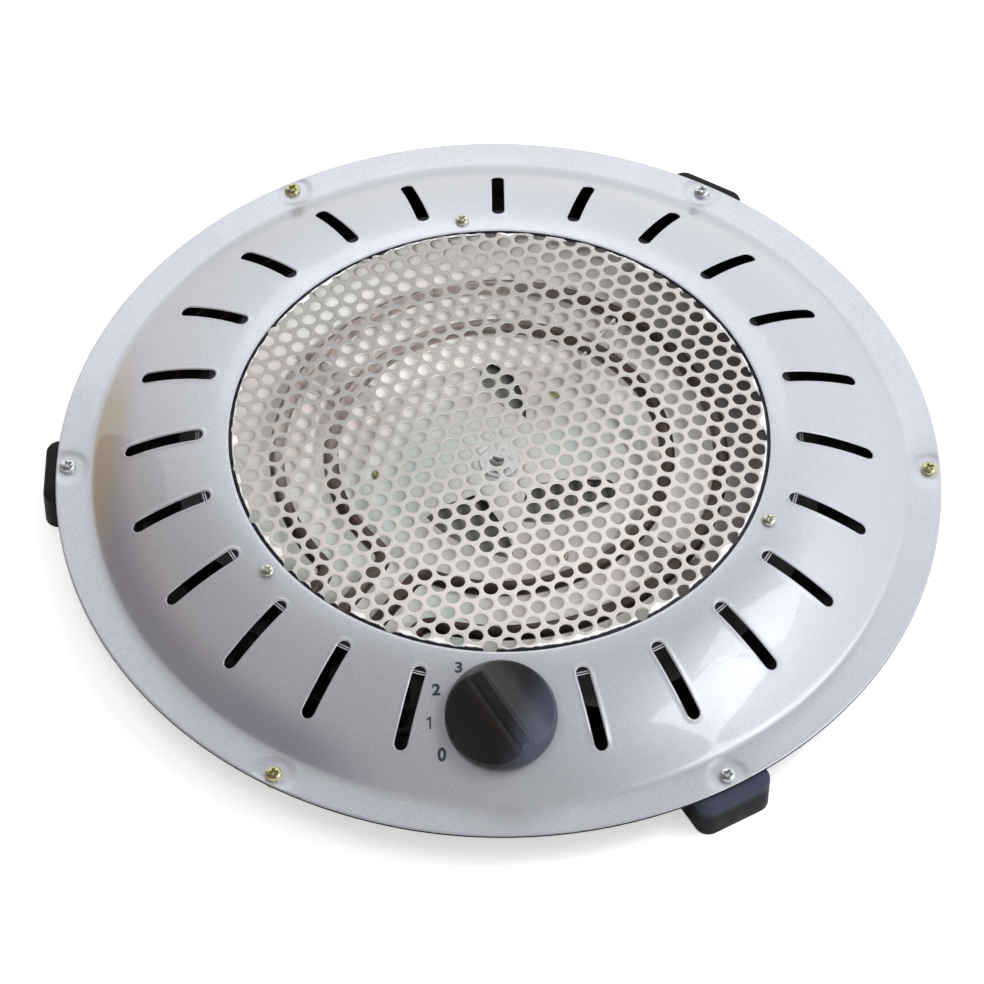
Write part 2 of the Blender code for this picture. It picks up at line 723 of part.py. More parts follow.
def foot_mesh():
    """A moulded block with rounded outer corners and a bevelled top, +X outwards, standing on height zero."""
    back = SCREW_CIRCLE - PAN_WALL_TOP_RADIUS - FOOT_BACK_GAP
    front = RIM_RADIUS + FOOT_OVERHANG - SCREW_CIRCLE
    half, r = FOOT_WIDTH / 2, FOOT_CORNER_RADIUS
    outline = [(-back, half), (-back, -half)]
    outline += arc((front - r, r - half), r, -math.pi / 2, 0.0, FOOT_CORNER_STEPS)
    outline += arc((front - r, half - r), r, 0.0, math.pi / 2, FOOT_CORNER_STEPS)
    mesh = flat_mesh([outline], FOOT_HEIGHT)
    shape = bmesh.new()
    shape.from_mesh(mesh)
    bmesh.ops.dissolve_limit(shape, angle_limit=0.01, verts=shape.verts, edges=shape.edges)
    edges = [
        e
        for e in shape.edges
        if min(v.co.z for v in e.verts) > FOOT_HEIGHT / 2 and max(v.co.x for v in e.verts) > -back / 2
    ]
    bmesh.ops.bevel(shape, geom=edges, offset=FOOT_BEVEL, segments=1, affect="EDGES")
    shape.to_mesh(mesh)
    shape.free()
    return mesh


def foot_pockets():
    """Two pockets moulded into a foot's underside, one at each side of the screw's boss."""
    back = SCREW_CIRCLE - PAN_WALL_TOP_RADIUS - FOOT_BACK_GAP
    front = RIM_RADIUS + FOOT_OVERHANG - SCREW_CIRCLE
    depth = back + front - 2 * FOOT_WALL - FOOT_CORNER_RADIUS / 2
    width = (FOOT_WIDTH - FOOT_BOSS_WIDTH) / 2 - FOOT_WALL
    x = -back + FOOT_WALL + depth / 2
    y = FOOT_BOSS_WIDTH / 2 + width / 2
    outlines = [rectangle(depth, width, (x, side * y)) for side in (-1, 1)]
    return flat_mesh(outlines, FOOT_HEIGHT - FOOT_ROOF + CUT_OVERRUN, -CUT_OVERRUN)


def make_feet():
    """Three feet under the flange, each with a hole for its screw."""
    mesh, pockets = foot_mesh(), foot_pockets()
    depth = FOOT_SCREW_BITE + SEAT_GAP
    bore = [circle(RIM_SHANK_RADIUS + THREAD_CLEARANCE, HOLE_STEPS)]
    hole = flat_mesh(bore, depth + CUT_OVERRUN, FOOT_HEIGHT - depth)
    for i, turn in enumerate(foot_turns(), 1):
        seat = on_circle(SCREW_CIRCLE, turn)
        foot = place(f"foot_{i}", mesh.copy(), "black_plastic", seat)
        boolean(foot, cutter(f"foot_pockets_{i}", pockets, seat))
        boolean(foot, cutter(f"foot_hole_{i}", hole, seat))


def reflector_profile():
    """Upper face of the reflector: raised hub, seat for the screws, trough under the rings, flared wall."""
    seat = REFLECTOR_SEAT_WIDTH / 2
    margin = TUBE_RADIUS + ELEMENT_PLAY + CLIP_MARGIN + REFLECTOR_TROUGH_MARGIN
    trough = OUTER_ELEMENT_RADIUS + margin
    points = [
        (BOLT_RADIUS + THREAD_CLEARANCE, REFLECTOR_HUB_TOP),
        (REFLECTOR_HUB_RADIUS, REFLECTOR_HUB_TOP),
        (REFLECTOR_SEAT_RADIUS - seat, REFLECTOR_SEAT_TOP),
        (REFLECTOR_SEAT_RADIUS + seat, REFLECTOR_SEAT_TOP),
        (INNER_ELEMENT_RADIUS - margin, REFLECTOR_TROUGH_TOP),
        (trough, REFLECTOR_TROUGH_TOP),
    ]
    wall = REFLECTOR_RADIUS - trough
    for along, up in REFLECTOR_WALL_SHARES:
        points.append((trough + along * wall, REFLECTOR_TROUGH_TOP + up * REFLECTOR_WALL_HEIGHT))
    return points


def leaf_outline(stations):
    """A leaf from its stations: out along one edge and back along the other."""
    out = [(share, first) for share, first, _ in stations]
    back = [(share, last) for share, _, last in stations[-2:0:-1]]
    points = []
    for share, degrees in out + back:
        radius, turn = share * REFLECTOR_SEAT_RADIUS, math.radians(degrees)
        points.append((radius * math.cos(turn), radius * math.sin(turn)))
    return points


def make_reflector():
    """Polished dish with its leaf openings, cut off straight where the switch and the terminals are."""
    reflector = pressed("reflector", reflector_profile(), REFLECTOR_SHEET, "bright_reflector", PIECE_STEPS)
    outlines = [leaf_outline(stations) for stations in LEAF_STATION_SHARES]
    outlines += screw_holes(SMALL_SHANK_RADIUS, REFLECTOR_SEAT_RADIUS, reflector_screws())
    width = REFLECTOR_RADIUS * 2
    side = rectangle(width, width, (REFLECTOR_CUT_DISTANCE + width / 2, 0.0))
    outlines.append(turned_points(side, REFLECTOR_CUT_TURN))
    cuts = flat_mesh(outlines, REFLECTOR_HUB_TOP + REFLECTOR_WALL_HEIGHT)
    boolean(reflector, cutter("reflector_cuts", cuts))


def make_reflector_fixings():
    """Screws and spacers that hold the reflector over the pan."""
    floor = PAN_FLOOR_TOP + PAN_STEP_HEIGHT
    head = REFLECTOR_SEAT_TOP + SEAT_GAP
    length = head - floor + SHEET + SCREW_TAIL
    profile = screw_profile(SMALL_HEAD_RADIUS, SMALL_HEAD_HEIGHT, SMALL_SHANK_RADIUS, length)
    bore = SMALL_SHANK_RADIUS + THREAD_CLEARANCE
    top = REFLECTOR_SEAT_TOP - REFLECTOR_SHEET - SEAT_GAP
    sleeve = ring_profile(bore, bore + SPACER_WALL, floor + SEAT_GAP, top)
    for i, turn in enumerate(reflector_screws(), 1):
        seat = on_circle(REFLECTOR_SEAT_RADIUS, turn, head)
        turned(f"reflector_screw_{i}", profile, "yellow_zinc", FASTENER_STEPS, seat)
        seat = on_circle(REFLECTOR_SEAT_RADIUS, turn)
        turned(f"reflector_spacer_{i}", sleeve, "white_zinc", FASTENER_STEPS, seat, closed=True)


def make_centre():
    """Bolt through the middle of the pan and the reflector, with its spacer, washer and nut."""
    floor = PAN_FLOOR_TOP + PAN_STEP_HEIGHT
    washer = REFLECTOR_HUB_TOP + SEAT_GAP
    nut = washer + WASHER_THICKNESS + SEAT_GAP + CENTRE_NUT_HEIGHT
    head = floor - SHEET - SEAT_GAP
    bore = BOLT_RADIUS + THREAD_CLEARANCE
    bolt = [
        (0.0, nut + SCREW_TAIL),
        (BOLT_RADIUS, nut + SCREW_TAIL),
        (BOLT_RADIUS, head),
        (BOLT_HEAD_RADIUS, head),
        (BOLT_HEAD_RADIUS, head - BOLT_HEAD_HEIGHT),
        (0.0, head - BOLT_HEAD_HEIGHT),
    ]
    turned("centre_bolt", bolt, "white_zinc", FASTENER_STEPS)
    top = REFLECTOR_HUB_TOP - REFLECTOR_SHEET - SEAT_GAP
    sleeve = ring_profile(bore, bore + SPACER_WALL, floor + SEAT_GAP, top)
    turned("centre_spacer", sleeve, "white_zinc", FASTENER_STEPS, closed=True)
    disc = ring_profile(bore, WASHER_RADIUS, washer, washer + WASHER_THICKNESS)
    turned("centre_washer", disc, "white_zinc", COLLAR_STEPS, closed=True)
    hexagon_nut("centre_nut", CENTRE_NUT_RADIUS, CENTRE_NUT_HEIGHT, bore, "white_zinc", at(0.0, 0.0, nut))


def element_path(radius, spread):
    """One ring with both ends bent outwards side by side, in a plane whose +X runs through the gap."""
    bend = ELEMENT_BEND
    reach = math.sqrt((radius + bend) ** 2 - (spread + bend) ** 2)
    half_gap = math.asin((spread + bend) / (radius + bend))
    ring = arc((0.0, 0.0), radius, half_gap, 2 * math.pi - half_gap, ELEMENT_RING_STEPS)
    corner = arc((reach, spread + bend), bend, -math.pi / 2, half_gap - math.pi, ELEMENT_BEND_STEPS)
    start = [(ELEMENT_END_DISTANCE, spread)] + corner[:-1]
    end = [(x, -y) for x, y in start[::-1]]
    return start + ring + end


def make_element(name, radius, spread):
    """A sheathed ring element with a thin pin at each end."""
    curve = bpy.data.curves.new(name, "CURVE")
    curve.dimensions = "3D"
    curve.bevel_depth = TUBE_RADIUS
    curve.bevel_resolution = 2
    curve.use_fill_caps = True
    path = [(point, 1.0) for point in element_path(radius, spread)]
    pins = []
    for side in (1, -1):
        near = (ELEMENT_END_DISTANCE + PIN_TAPER, side * spread)
        far = (ELEMENT_END_DISTANCE + PIN_LENGTH, side * spread)
        pins.append([(far, PIN_SHARE), (near, PIN_SHARE)])
    path = pins[0] + path + pins[1][::-1]
    spline = curve.splines.new("POLY")
    spline.points.add(len(path) - 1)
    for point, ((x, y), share) in zip(spline.points, path):
        point.co = (x, y, 0.0, 1.0)
        point.radius = share
    turn = about_z(ELEMENT_END_TURN) @ at(0.0, 0.0, ELEMENT_HEIGHT)
    place(name, curve, "element_sheath", turn)


def upright(x, y):
    """A frame whose XY plane stands up: X stays, Y becomes Z."""
    return at(x, y) @ Matrix.Rotation(math.pi / 2, 4, "X")


def clip_mesh():
    """A plate with two open notches for the rings, and a foot along its lower edge. X is the radius."""
    hold = TUBE_RADIUS + ELEMENT_PLAY
    first = INNER_ELEMENT_RADIUS - hold - CLIP_MARGIN
    last = OUTER_ELEMENT_RADIUS + hold + CLIP_MARGIN
    low = REFLECTOR_TROUGH_TOP + SEAT_GAP
    top = ELEMENT_HEIGHT + CLIP_TOP_LIFT
    outline = [(first, low), (last, low), (last, top)]
    for radius in (OUTER_ELEMENT_RADIUS, INNER_ELEMENT_RADIUS):
        outline.append((radius + hold, top))
        outline += arc((radius, ELEMENT_HEIGHT), hold, 0.0, -math.pi, 6)
        outline.append((radius - hold, top))
    outline.append((first, top))
    return flat_mesh([outline], CLIP_SHEET, -CLIP_SHEET / 2)


def foot_strip_mesh(first, last, low, width):
    """A flat strip at the foot of a standing plate, from the plate's middle to one side."""
    strip = rectangle(last - first, width, ((first + last) / 2, width / 2 - CLIP_SHEET / 2))
    return flat_mesh([strip], CLIP_SHEET, low)


def make_clips():
    """Supports of the rings, standing on the reflector's trough."""
    plate = clip_mesh()
    hold = TUBE_RADIUS + ELEMENT_PLAY + CLIP_MARGIN
    first, last = INNER_ELEMENT_RADIUS - hold, OUTER_ELEMENT_RADIUS + hold
    strip = foot_strip_mesh(first, last, REFLECTOR_TROUGH_TOP + SEAT_GAP, CLIP_FOOT_WIDTH)
    for i in range(CLIP_COUNT):
        turn = ELEMENT_END_TURN + (i + 1) * 2 * math.pi / (CLIP_COUNT + 1)
        clip = place(f"element_clip_{i + 1}", plate.copy(), "white_zinc", about_z(turn) @ upright(0.0, 0.0))
        boolean(clip, cutter(f"clip_foot_{i + 1}", strip, about_z(turn)), "UNION")


def make_bracket():
    """Plate that the four cold ends of the elements pass through, with a foot on the pan's floor."""
    hole = TUBE_RADIUS + SEAT_GAP
    half = OUTER_END_SPREAD + BRACKET_MARGIN
    low = PAN_FLOOR_TOP + SEAT_GAP
    top = ELEMENT_HEIGHT + BRACKET_MARGIN
    outlines = [rectangle(2 * half, top - low, (0.0, (top + low) / 2))]
    for spread in (-OUTER_END_SPREAD, -INNER_END_SPREAD, INNER_END_SPREAD, OUTER_END_SPREAD):
        outlines.append(circle(hole, COLLAR_STEPS, (spread, ELEMENT_HEIGHT)))
    plate = flat_mesh(outlines, CLIP_SHEET, -CLIP_SHEET / 2)
    distance = ELEMENT_END_DISTANCE - BRACKET_INSET
    facing = about_z(ELEMENT_END_TURN - math.pi / 2) @ at(0.0, distance)
    bracket = place("element_bracket", plate, "white_zinc", facing @ upright(0.0, 0.0))
    strip = foot_strip_mesh(-half, half, low, BRACKET_FOOT_WIDTH)
    boolean(bracket, cutter("bracket_foot", strip, facing), "UNION")


def shaft_outline(radius):
    """A round outline with a flat on one side."""
    flat = radius - SHAFT_FLAT
    half = math.acos(flat / radius)
    return arc((0.0, 0.0), radius, half, 2 * math.pi - half, COLLAR_STEPS)


def make_switch(frame):
    """Rotary switch under the cover, held by two screws that the knob hides."""
    underside = -(SHEET + SEAT_GAP)
    top = underside - SWITCH_COLLAR_HEIGHT
    housing = flat_mesh([rectangle(SWITCH_SIZE, SWITCH_SIZE)], SWITCH_DEPTH, top - SWITCH_DEPTH)
    body = place("switch_body", housing, "switch_plastic", frame)
    raised = [circle(SWITCH_COLLAR_RADIUS, COLLAR_STEPS)]
    collar = flat_mesh(raised, SWITCH_COLLAR_HEIGHT + SHEET, top - SHEET)
    boolean(body, cutter("switch_collar", collar, frame), "UNION")
    boss_reach = SWITCH_SCREW_SPREAD + SWITCH_BOSS_RADIUS
    sag = boss_reach * math.tan(math.pi / SHELL_STEPS) * math.tan(knob_tilt())
    spots = [(side * SWITCH_SCREW_SPREAD, 0.0) for side in (-1, 1)]
    bosses = [circle(SWITCH_BOSS_RADIUS, HOLE_STEPS, spot) for spot in spots]
    boss_top = underside - sag
    raised = flat_mesh(bosses, boss_top - top + SHEET, top - SHEET)
    boolean(body, cutter("switch_bosses", raised, frame), "UNION")
    length, thickness, height = SWITCH_TAB_SIZE
    rooted = length + SHEET
    middle = -SWITCH_SIZE / 2 - length + rooted / 2
    tabs = [rectangle(rooted, thickness, (middle, row * SWITCH_TAB_SPREAD)) for row in (-1, 0, 1)]
    low = -SWITCH_TAB_DROP - height / 2
    boolean(body, cutter("switch_tabs", flat_mesh(tabs, height, low), frame), "UNION")
    bore = circle(SHAFT_RADIUS + SEAT_GAP, COLLAR_STEPS)
    depth = SHAFT_BITE + SEAT_GAP
    boolean(body, cutter("shaft_bore", flat_mesh([bore], depth + CUT_OVERRUN, -depth), frame))
    screw = SMALL_SHANK_RADIUS + THREAD_CLEARANCE
    holes = [circle(screw, HOLE_STEPS, spot) for spot in spots]
    length = SWITCH_COLLAR_HEIGHT + RIM_NUT_HEIGHT
    boolean(body, cutter("boss_bores", flat_mesh(holes, length + CUT_OVERRUN, -length - SHEET), frame))
    profile = screw_profile(SMALL_HEAD_RADIUS, SMALL_HEAD_HEIGHT, SMALL_SHANK_RADIUS, length)
    for i, (x, y) in enumerate(spots, 1):
        seat = frame @ at(x, y, SEAT_GAP)
        turned(f"switch_screw_{i}", profile, "white_zinc", FASTENER_STEPS, seat)


def knob_profile():
    """Half section of the knob before it is scooped, over the tangent plane of the dome."""
    low = KNOB_LIFT
    inside = KNOB_RADIUS - KNOB_WALL
    ceiling = low + KNOB_CAVITY_HEIGHT
    return [
        (0.0, KNOB_TOP),
        (KNOB_RADIUS - KNOB_TOP_INSET, KNOB_TOP),
        (KNOB_RADIUS - KNOB_EDGE_INSET, low + KNOB_EDGE_HEIGHT),
        (KNOB_RADIUS, low + KNOB_SKIRT),
        (KNOB_RADIUS, low),
        (inside, low),
        (inside - KNOB_WALL / 2, ceiling),
        (KNOB_BOSS_RADIUS, ceiling),
        (KNOB_BOSS_RADIUS, low),
        (0.0, low),
    ]


def scoop_outline():
    """Half section of the space beside the grip: a quarter ellipse from its top edge out to the skirt."""
    low, high = KNOB_LIFT + SCOOP_FLOOR, KNOB_TOP
    near, far = GRIP_WIDTH / 2, KNOB_RADIUS - SCOOP_RIM
    points = []
    for i in range(SCOOP_STEPS + 1):
        turn = math.pi / 2 * i / SCOOP_STEPS
        points.append((far - (far - near) * math.cos(turn), high - (high - low) * math.sin(turn)))
    over = KNOB_RADIUS + CUT_OVERRUN
    return points + [(over, low), (over, high + CUT_OVERRUN), (near, high + CUT_OVERRUN)]


def make_knob(frame):
    """Selector knob and the switch's shaft, which turn together about the frame's Z."""
    axis = bpy.data.objects.new("knob_axis", None)
    PARTS.objects.link(axis)
    axis.matrix_world = frame
    bpy.context.view_layer.update()
    grip = frame @ about_z(GRIP_TURN)
    knob = turned("knob", knob_profile(), "black_plastic", PIECE_STEPS, grip)
    length = 2 * (KNOB_RADIUS + CUT_OVERRUN)
    scoop = scoop_outline()
    for name, side in (("left_scoop", 1), ("right_scoop", -1)):
        outline = [(side * x, y) for x, y in scoop]
        standing = grip @ Matrix.Rotation(math.pi / 2, 4, "Z") @ Matrix.Rotation(math.pi / 2, 4, "X")
        boolean(knob, cutter(name, flat_mesh([outline], length, -length / 2), standing))
    socket = shaft_outline(SHAFT_RADIUS + SEAT_GAP)
    hollow = flat_mesh([socket], SOCKET_DEPTH + CUT_OVERRUN, -CUT_OVERRUN)
    boolean(knob, cutter("knob_socket", hollow, grip))
    top = SOCKET_DEPTH - SEAT_GAP
    rod = flat_mesh([shaft_outline(SHAFT_RADIUS)], top + SHAFT_BITE, -SHAFT_BITE)
    shaft = place("switch_shaft", rod, "white_zinc", grip)
    for piece in (knob, shaft):
        piece.parent = axis
        piece.matrix_parent_inverse = frame.inverted()


def smooth_path(points, steps):
    """Points of a smooth curve through the given ones, nowhere lower than a wire lying in the pan."""
    ends = [2 * points[0] - points[1]] + points + [2 * points[-1] - points[-2]]
    made = []
    count = len(points) - 1
    for i in range(steps + 1):
        along = count * i / steps
        k = min(int(along), count - 1)
        t = along - k
        a, b, c, d = ends[k:k + 4]
        square = (2 * a - 5 * b + 4 * c - d) * t ** 2
        cube = (3 * b - a - 3 * c + d) * t ** 3
        point = (2 * b + (c - a) * t + square + cube) / 2
        point.z = max(point.z, WIRE_HEIGHT)
        made.append(point)
    return made


def polar(turn, radius, height):
    """A point from its turn, radius and height."""
    return Vector((radius * math.cos(turn), radius * math.sin(turn), height))


def make_wire(name, route, finish_name):
    """An insulated wire along a smooth curve through its route."""
    curve = bpy.data.curves.new(name, "CURVE")
    curve.dimensions = "3D"
    curve.bevel_depth = WIRE_RADIUS
    curve.bevel_resolution = 1
    curve.use_fill_caps = True
    path = smooth_path(route, WIRE_STEPS * (len(route) - 1))
    spline = curve.splines.new("POLY")
    spline.points.add(len(path) - 1)
    for point, place_on in zip(spline.points, path):
        point.co = (*place_on, 1.0)
    place(name, curve, finish_name)


def make_inlet():
    """Grommet in the pan's wall, terminal block and earth screw."""
    wall = SHEET / 2 + SEAT_GAP
    out = wall + GROMMET_FLANGE
    section = [
        (GROMMET_BORE, out),
        (GROMMET_FLANGE_RADIUS, out),
        (GROMMET_FLANGE_RADIUS, wall),
        (GROMMET_GROOVE_RADIUS, wall),
        (GROMMET_GROOVE_RADIUS, -wall - SHEET),
        (GROMMET_FLANGE_RADIUS, -wall - SHEET),
        (GROMMET_FLANGE_RADIUS, -out - SHEET),
        (GROMMET_BORE, -out - SHEET),
    ]
    turned("cord_grommet", section, "grey_rubber", COLLAR_STEPS, grommet_frame(), closed=True)
    x, y, z = BLOCK_SIZE
    block = flat_mesh([rectangle(y, x)], z)
    place("terminal_block", block, "pale_ceramic", on_circle(WIRE_LANE, BLOCK_TURN, PAN_FLOOR_TOP + SEAT_GAP))
    length = SHEET + 2 * SEAT_GAP + SCREW_TAIL
    profile = screw_profile(SMALL_HEAD_RADIUS, SMALL_HEAD_HEIGHT, SMALL_SHANK_RADIUS, length)
    seat = on_circle(WIRE_LANE, EARTH_TURN, PAN_FLOOR_TOP + SEAT_GAP)
    turned("earth_screw", profile, "yellow_zinc", FASTENER_STEPS, seat)


def make_cutout():
    """Disc thermostat on the pan's floor."""
    low = PAN_FLOOR_TOP + SEAT_GAP
    profile = [
        (0.0, low + CUTOUT_HEIGHT),
        (CUTOUT_RADIUS, low + CUTOUT_HEIGHT),
        (CUTOUT_RADIUS, low + CUTOUT_BASE),
        (CUTOUT_BASE_RADIUS, low + CUTOUT_BASE),
        (CUTOUT_BASE_RADIUS, low),
        (0.0, low),
    ]
    turned("thermal_cutout", profile, "pale_ceramic", COLLAR_STEPS, on_circle(WIRE_LANE, CUTOUT_TURN))


def element_end(spread):
    """The straight end of a wire at an element's pin, from the pin outwards."""
    reach = ELEMENT_END_DISTANCE + PIN_LENGTH + SEAT_GAP
    turn = about_z(ELEMENT_END_TURN)
    return [turn @ Vector((reach + i * WIRE_RUN, spread, ELEMENT_HEIGHT)) for i in range(3)]


def switch_end(frame, row):
    """The straight end of a wire at one of the switch's tabs, from the tab outwards."""
    reach = SWITCH_SIZE / 2 + SWITCH_TAB_SIZE[0] + SEAT_GAP
    y, z = row * SWITCH_TAB_SPREAD, -SWITCH_TAB_DROP
    return [frame @ Vector((-reach - i * WIRE_RUN, y, z)) for i in range(3)]


def along_lane(first, last, radius, stretches):
    """Points on the pan's floor from one turn to another."""
    step = (last - first) / stretches
    return [polar(first + i * step, radius, WIRE_HEIGHT) for i in range(stretches + 1)]


def make_wiring(frame):
    """Wires from the terminal block by way of the cut-out and the switch to the elements."""
    outer, inner = WIRE_LANE + WIRE_SPACING / 2, WIRE_LANE - WIRE_SPACING / 2
    block = (BLOCK_SIZE[0] / 2 + SEAT_GAP) / inner
    cut = (CUTOUT_BASE_RADIUS + SEAT_GAP) / WIRE_LANE

    route = along_lane(BLOCK_TURN + block, BLOCK_TURN + 2 * block, outer, 1)
    route += along_lane(BLOCK_TURN + 4 * block, CUTOUT_TURN - 4 * cut, outer, 3)
    route += along_lane(CUTOUT_TURN - 2 * cut, CUTOUT_TURN - cut, WIRE_LANE, 2)
    make_wire("feed_wire", route, "wire_brown")

    route = along_lane(CUTOUT_TURN + cut, CUTOUT_TURN + 3 * cut, WIRE_LANE, 2)
    make_wire("switch_wire", route + switch_end(frame, -1)[::-1], "wire_brown")

    route = along_lane(BLOCK_TURN + block, BLOCK_TURN + 2 * block, inner, 1)
    route += along_lane(BLOCK_TURN + 4 * block, CUTOUT_TURN, RETURN_LANE, 3)
    make_wire("return_wire", route + element_end(-OUTER_END_SPREAD)[::-1], "wire_blue")

    for name, spread, row in (("outer_wire", OUTER_END_SPREAD, 1), ("inner_wire", INNER_END_SPREAD, 0)):
        start, end = element_end(spread), switch_end(frame, row)[::-1]
        half_way = (start[-1] + end[0]) / 2
        out = Vector((half_way.x, half_way.y, 0.0)).normalized()
        reach = WIRE_RUN + (1 - row) * 2 * WIRE_SPACING
        make_wire(name, start + [half_way + out * reach] + end, "wire_white")

    ground = (SMALL_HEAD_RADIUS + SEAT_GAP) / WIRE_LANE
    make_wire("earth_wire", along_lane(BLOCK_TURN - block, EARTH_TURN + ground, WIRE_LANE, 2), "wire_green")


def make_link():
    """Strip that joins the neutral pins of the two elements."""
    hole = PIN_SHARE * TUBE_RADIUS + SEAT_GAP
    half = hole + LINK_MARGIN
    length = OUTER_END_SPREAD - INNER_END_SPREAD + 2 * half
    middle = (INNER_END_SPREAD + OUTER_END_SPREAD) / 2
    outlines = [rectangle(length, 2 * half, (middle, 0.0))]
    outlines += [circle(hole, HOLE_STEPS, (spread, 0.0)) for spread in (INNER_END_SPREAD, OUTER_END_SPREAD)]
    distance = ELEMENT_END_DISTANCE + PIN_LENGTH / 2
    standing = about_z(ELEMENT_END_TURN - math.pi / 2) @ at(0.0, distance, ELEMENT_HEIGHT)
    link = flat_mesh(outlines, LINK_SHEET, -LINK_SHEET / 2)
    place("neutral_link", link, "white_zinc", standing @ Matrix.Rotation(math.pi / 2, 4, "X"))


PARTS = None
CUTTERS = None


def main():
    """Build the whole object."""
    global PARTS, CUTTERS
    clear_scene()
    PARTS = collection("electric_brazier")
    CUTTERS = collection("cutters")
    frame = knob_frame()
    make_pan()
    make_cover()
    make_grille()
    make_grille_fixings()
    make_rim_fixings()
    make_feet()
    make_reflector()
    make_reflector_fixings()
    make_centre()
    make_element("inner_element", INNER_ELEMENT_RADIUS, INNER_END_SPREAD)
    make_element("outer_element", OUTER_ELEMENT_RADIUS, OUTER_END_SPREAD)
    make_clips()
    make_bracket()
    make_link()
    make_switch(frame)
    make_knob(frame)
    make_inlet()
    make_cutout()
    make_wiring(frame)


main()
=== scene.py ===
import math

import bmesh
import bpy
import numpy as np
from mathutils import Matrix, Vector


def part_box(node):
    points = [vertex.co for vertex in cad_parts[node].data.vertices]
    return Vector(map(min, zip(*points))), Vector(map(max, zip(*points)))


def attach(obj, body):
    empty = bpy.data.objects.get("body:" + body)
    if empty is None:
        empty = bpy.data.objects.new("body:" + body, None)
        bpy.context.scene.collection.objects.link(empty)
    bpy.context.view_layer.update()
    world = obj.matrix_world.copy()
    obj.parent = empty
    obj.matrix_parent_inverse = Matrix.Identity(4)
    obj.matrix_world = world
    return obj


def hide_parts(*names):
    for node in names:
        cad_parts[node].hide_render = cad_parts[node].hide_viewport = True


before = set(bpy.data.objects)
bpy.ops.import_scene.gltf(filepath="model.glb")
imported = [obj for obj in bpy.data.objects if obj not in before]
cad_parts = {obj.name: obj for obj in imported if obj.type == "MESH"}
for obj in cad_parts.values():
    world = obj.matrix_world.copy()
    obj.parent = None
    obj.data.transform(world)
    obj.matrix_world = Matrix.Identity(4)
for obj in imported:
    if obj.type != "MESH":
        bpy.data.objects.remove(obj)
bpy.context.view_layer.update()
MM = 0.001

# Sizes of the cover in millimetres, from the axis outwards and from the floor up.
SHEET = 0.6
RIM, CREASE, MOUTH = 190.0, 174.5, 115.3
FLANGE_TOP, DOME, DOME_POWER, CREASE_SOFTNESS = 20.5, 24.0, 1.85, 0.03
EDGE_ROUND, MOUTH_FALL, RIM_FALL = 0.7, 0.22, 0.35
SECTORS = 24
SLOT_HALF, SLOT_FIRST, SLOT_LAST = 2.75, 129.05, 157.25
SLOT_ROUND, SLOT_FALL = 0.5, 0.25
BEAD_RISE, BEAD_REACH, BEAD_SLOPE = 0.22, 1.5, 0.9
SLOT_NEAR, SLOT_FAR = 121.5, 165.0
ACROSS, ALONG = 24, 20
SCREW_CIRCLE = 185.0
RIM_SCREWS = np.arange(6) * np.pi / 3
DIMPLE_DEPTH, DIMPLE_REACH, DIMPLE_SLOPE = 0.22, 9.5, 2.5
KNOB_CIRCLE, SHAFT_HOLE = 143.3, 3.4

# Sizes of the grille.
GRILLE_EDGE, GRILLE_FLANGE = 112.5, 124.5
GRILLE_HEIGHT, GRILLE_RISE = 45.7, 2.6
SHOULDER_RADIUS, SHOULDER_HEIGHT, SHOULDER_OUT, SHOULDER_UP = 112.9, 44.0, 0.9, 1.6
PITCH, HOLE, HOLE_SOFTNESS, HOLE_LIMIT = 8.142, 3.15, 0.42, 114.2
LATTICE_TURN, LATTICE_SHIFT = math.radians(15.38), (2.82, -2.20)
CELL_POINTS = 18

# Meshes


def grid_faces(rows, columns, wrap):
    """Quads of a grid of points; wrap joins its last column to its first."""
    i = np.arange(rows - 1)[:, None]
    j = np.arange(columns if wrap else columns - 1)[None, :]
    k = (j + 1) % columns
    corners = (i * columns + j, i * columns + k, (i + 1) * columns + k, (i + 1) * columns + j)
    return np.stack(np.broadcast_arrays(*corners), axis=-1).reshape(-1, 4)


def polar(r, way, *height):
    """Points at a radius and a turn, flat or at a height."""
    return np.stack(np.broadcast_arrays(r * np.cos(way), r * np.sin(way), *height), -1)


class Surface:
    """Patches of points and quads that are welded where they meet."""

    def __init__(self):
        self.points, self.faces, self.count = [], [], 0

    def add(self, points, faces):
        """Points with the faces between them."""
        points = np.asarray(points, float).reshape(-1, 3)
        self.points.append(points)
        self.faces.append(np.asarray(faces) + self.count)
        self.count += len(points)

    def grid(self, points, wrap=False):
        """A grid of points, rows by columns by 3."""
        rows, columns = points.shape[:2]
        self.add(points, grid_faces(rows, columns, wrap))

    def spun(self, profile, steps):
        """A profile of (radius, height) carried round Z."""
        turns = np.arange(steps) * 2 * np.pi / steps
        r, z = np.asarray(profile, float).T[..., None]
        self.grid(polar(r, turns, z), wrap=True)

    def mesh(self, name, closed=True):
        """The welded mesh, in metres, with its faces outwards."""
        points = np.concatenate(self.points) * MM
        faces = np.concatenate(self.faces)
        made = bpy.data.meshes.new(name)
        made.vertices.add(len(points))
        made.vertices.foreach_set("co", points.astype(np.float32).ravel())
        made.loops.add(faces.size)
        made.loops.foreach_set("vertex_index", faces.astype(np.int32).ravel())
        made.polygons.add(len(faces))
        made.polygons.foreach_set("loop_start", np.arange(len(faces), dtype=np.int32) * faces.shape[1])
        made.update(calc_edges=True)
        shape = bmesh.new()
        shape.from_mesh(made)
        bmesh.ops.remove_doubles(shape, verts=shape.verts, dist=2e-6)
        bmesh.ops.dissolve_degenerate(shape, edges=shape.edges, dist=1e-7)
        bmesh.ops.recalc_face_normals(shape, faces=shape.faces)
        if not closed and sum(f.normal.z * f.calc_area() for f in shape.faces) < 0:
            bmesh.ops.reverse_faces(shape, faces=shape.faces)
        shape.to_mesh(made)
        shape.free()
        return made


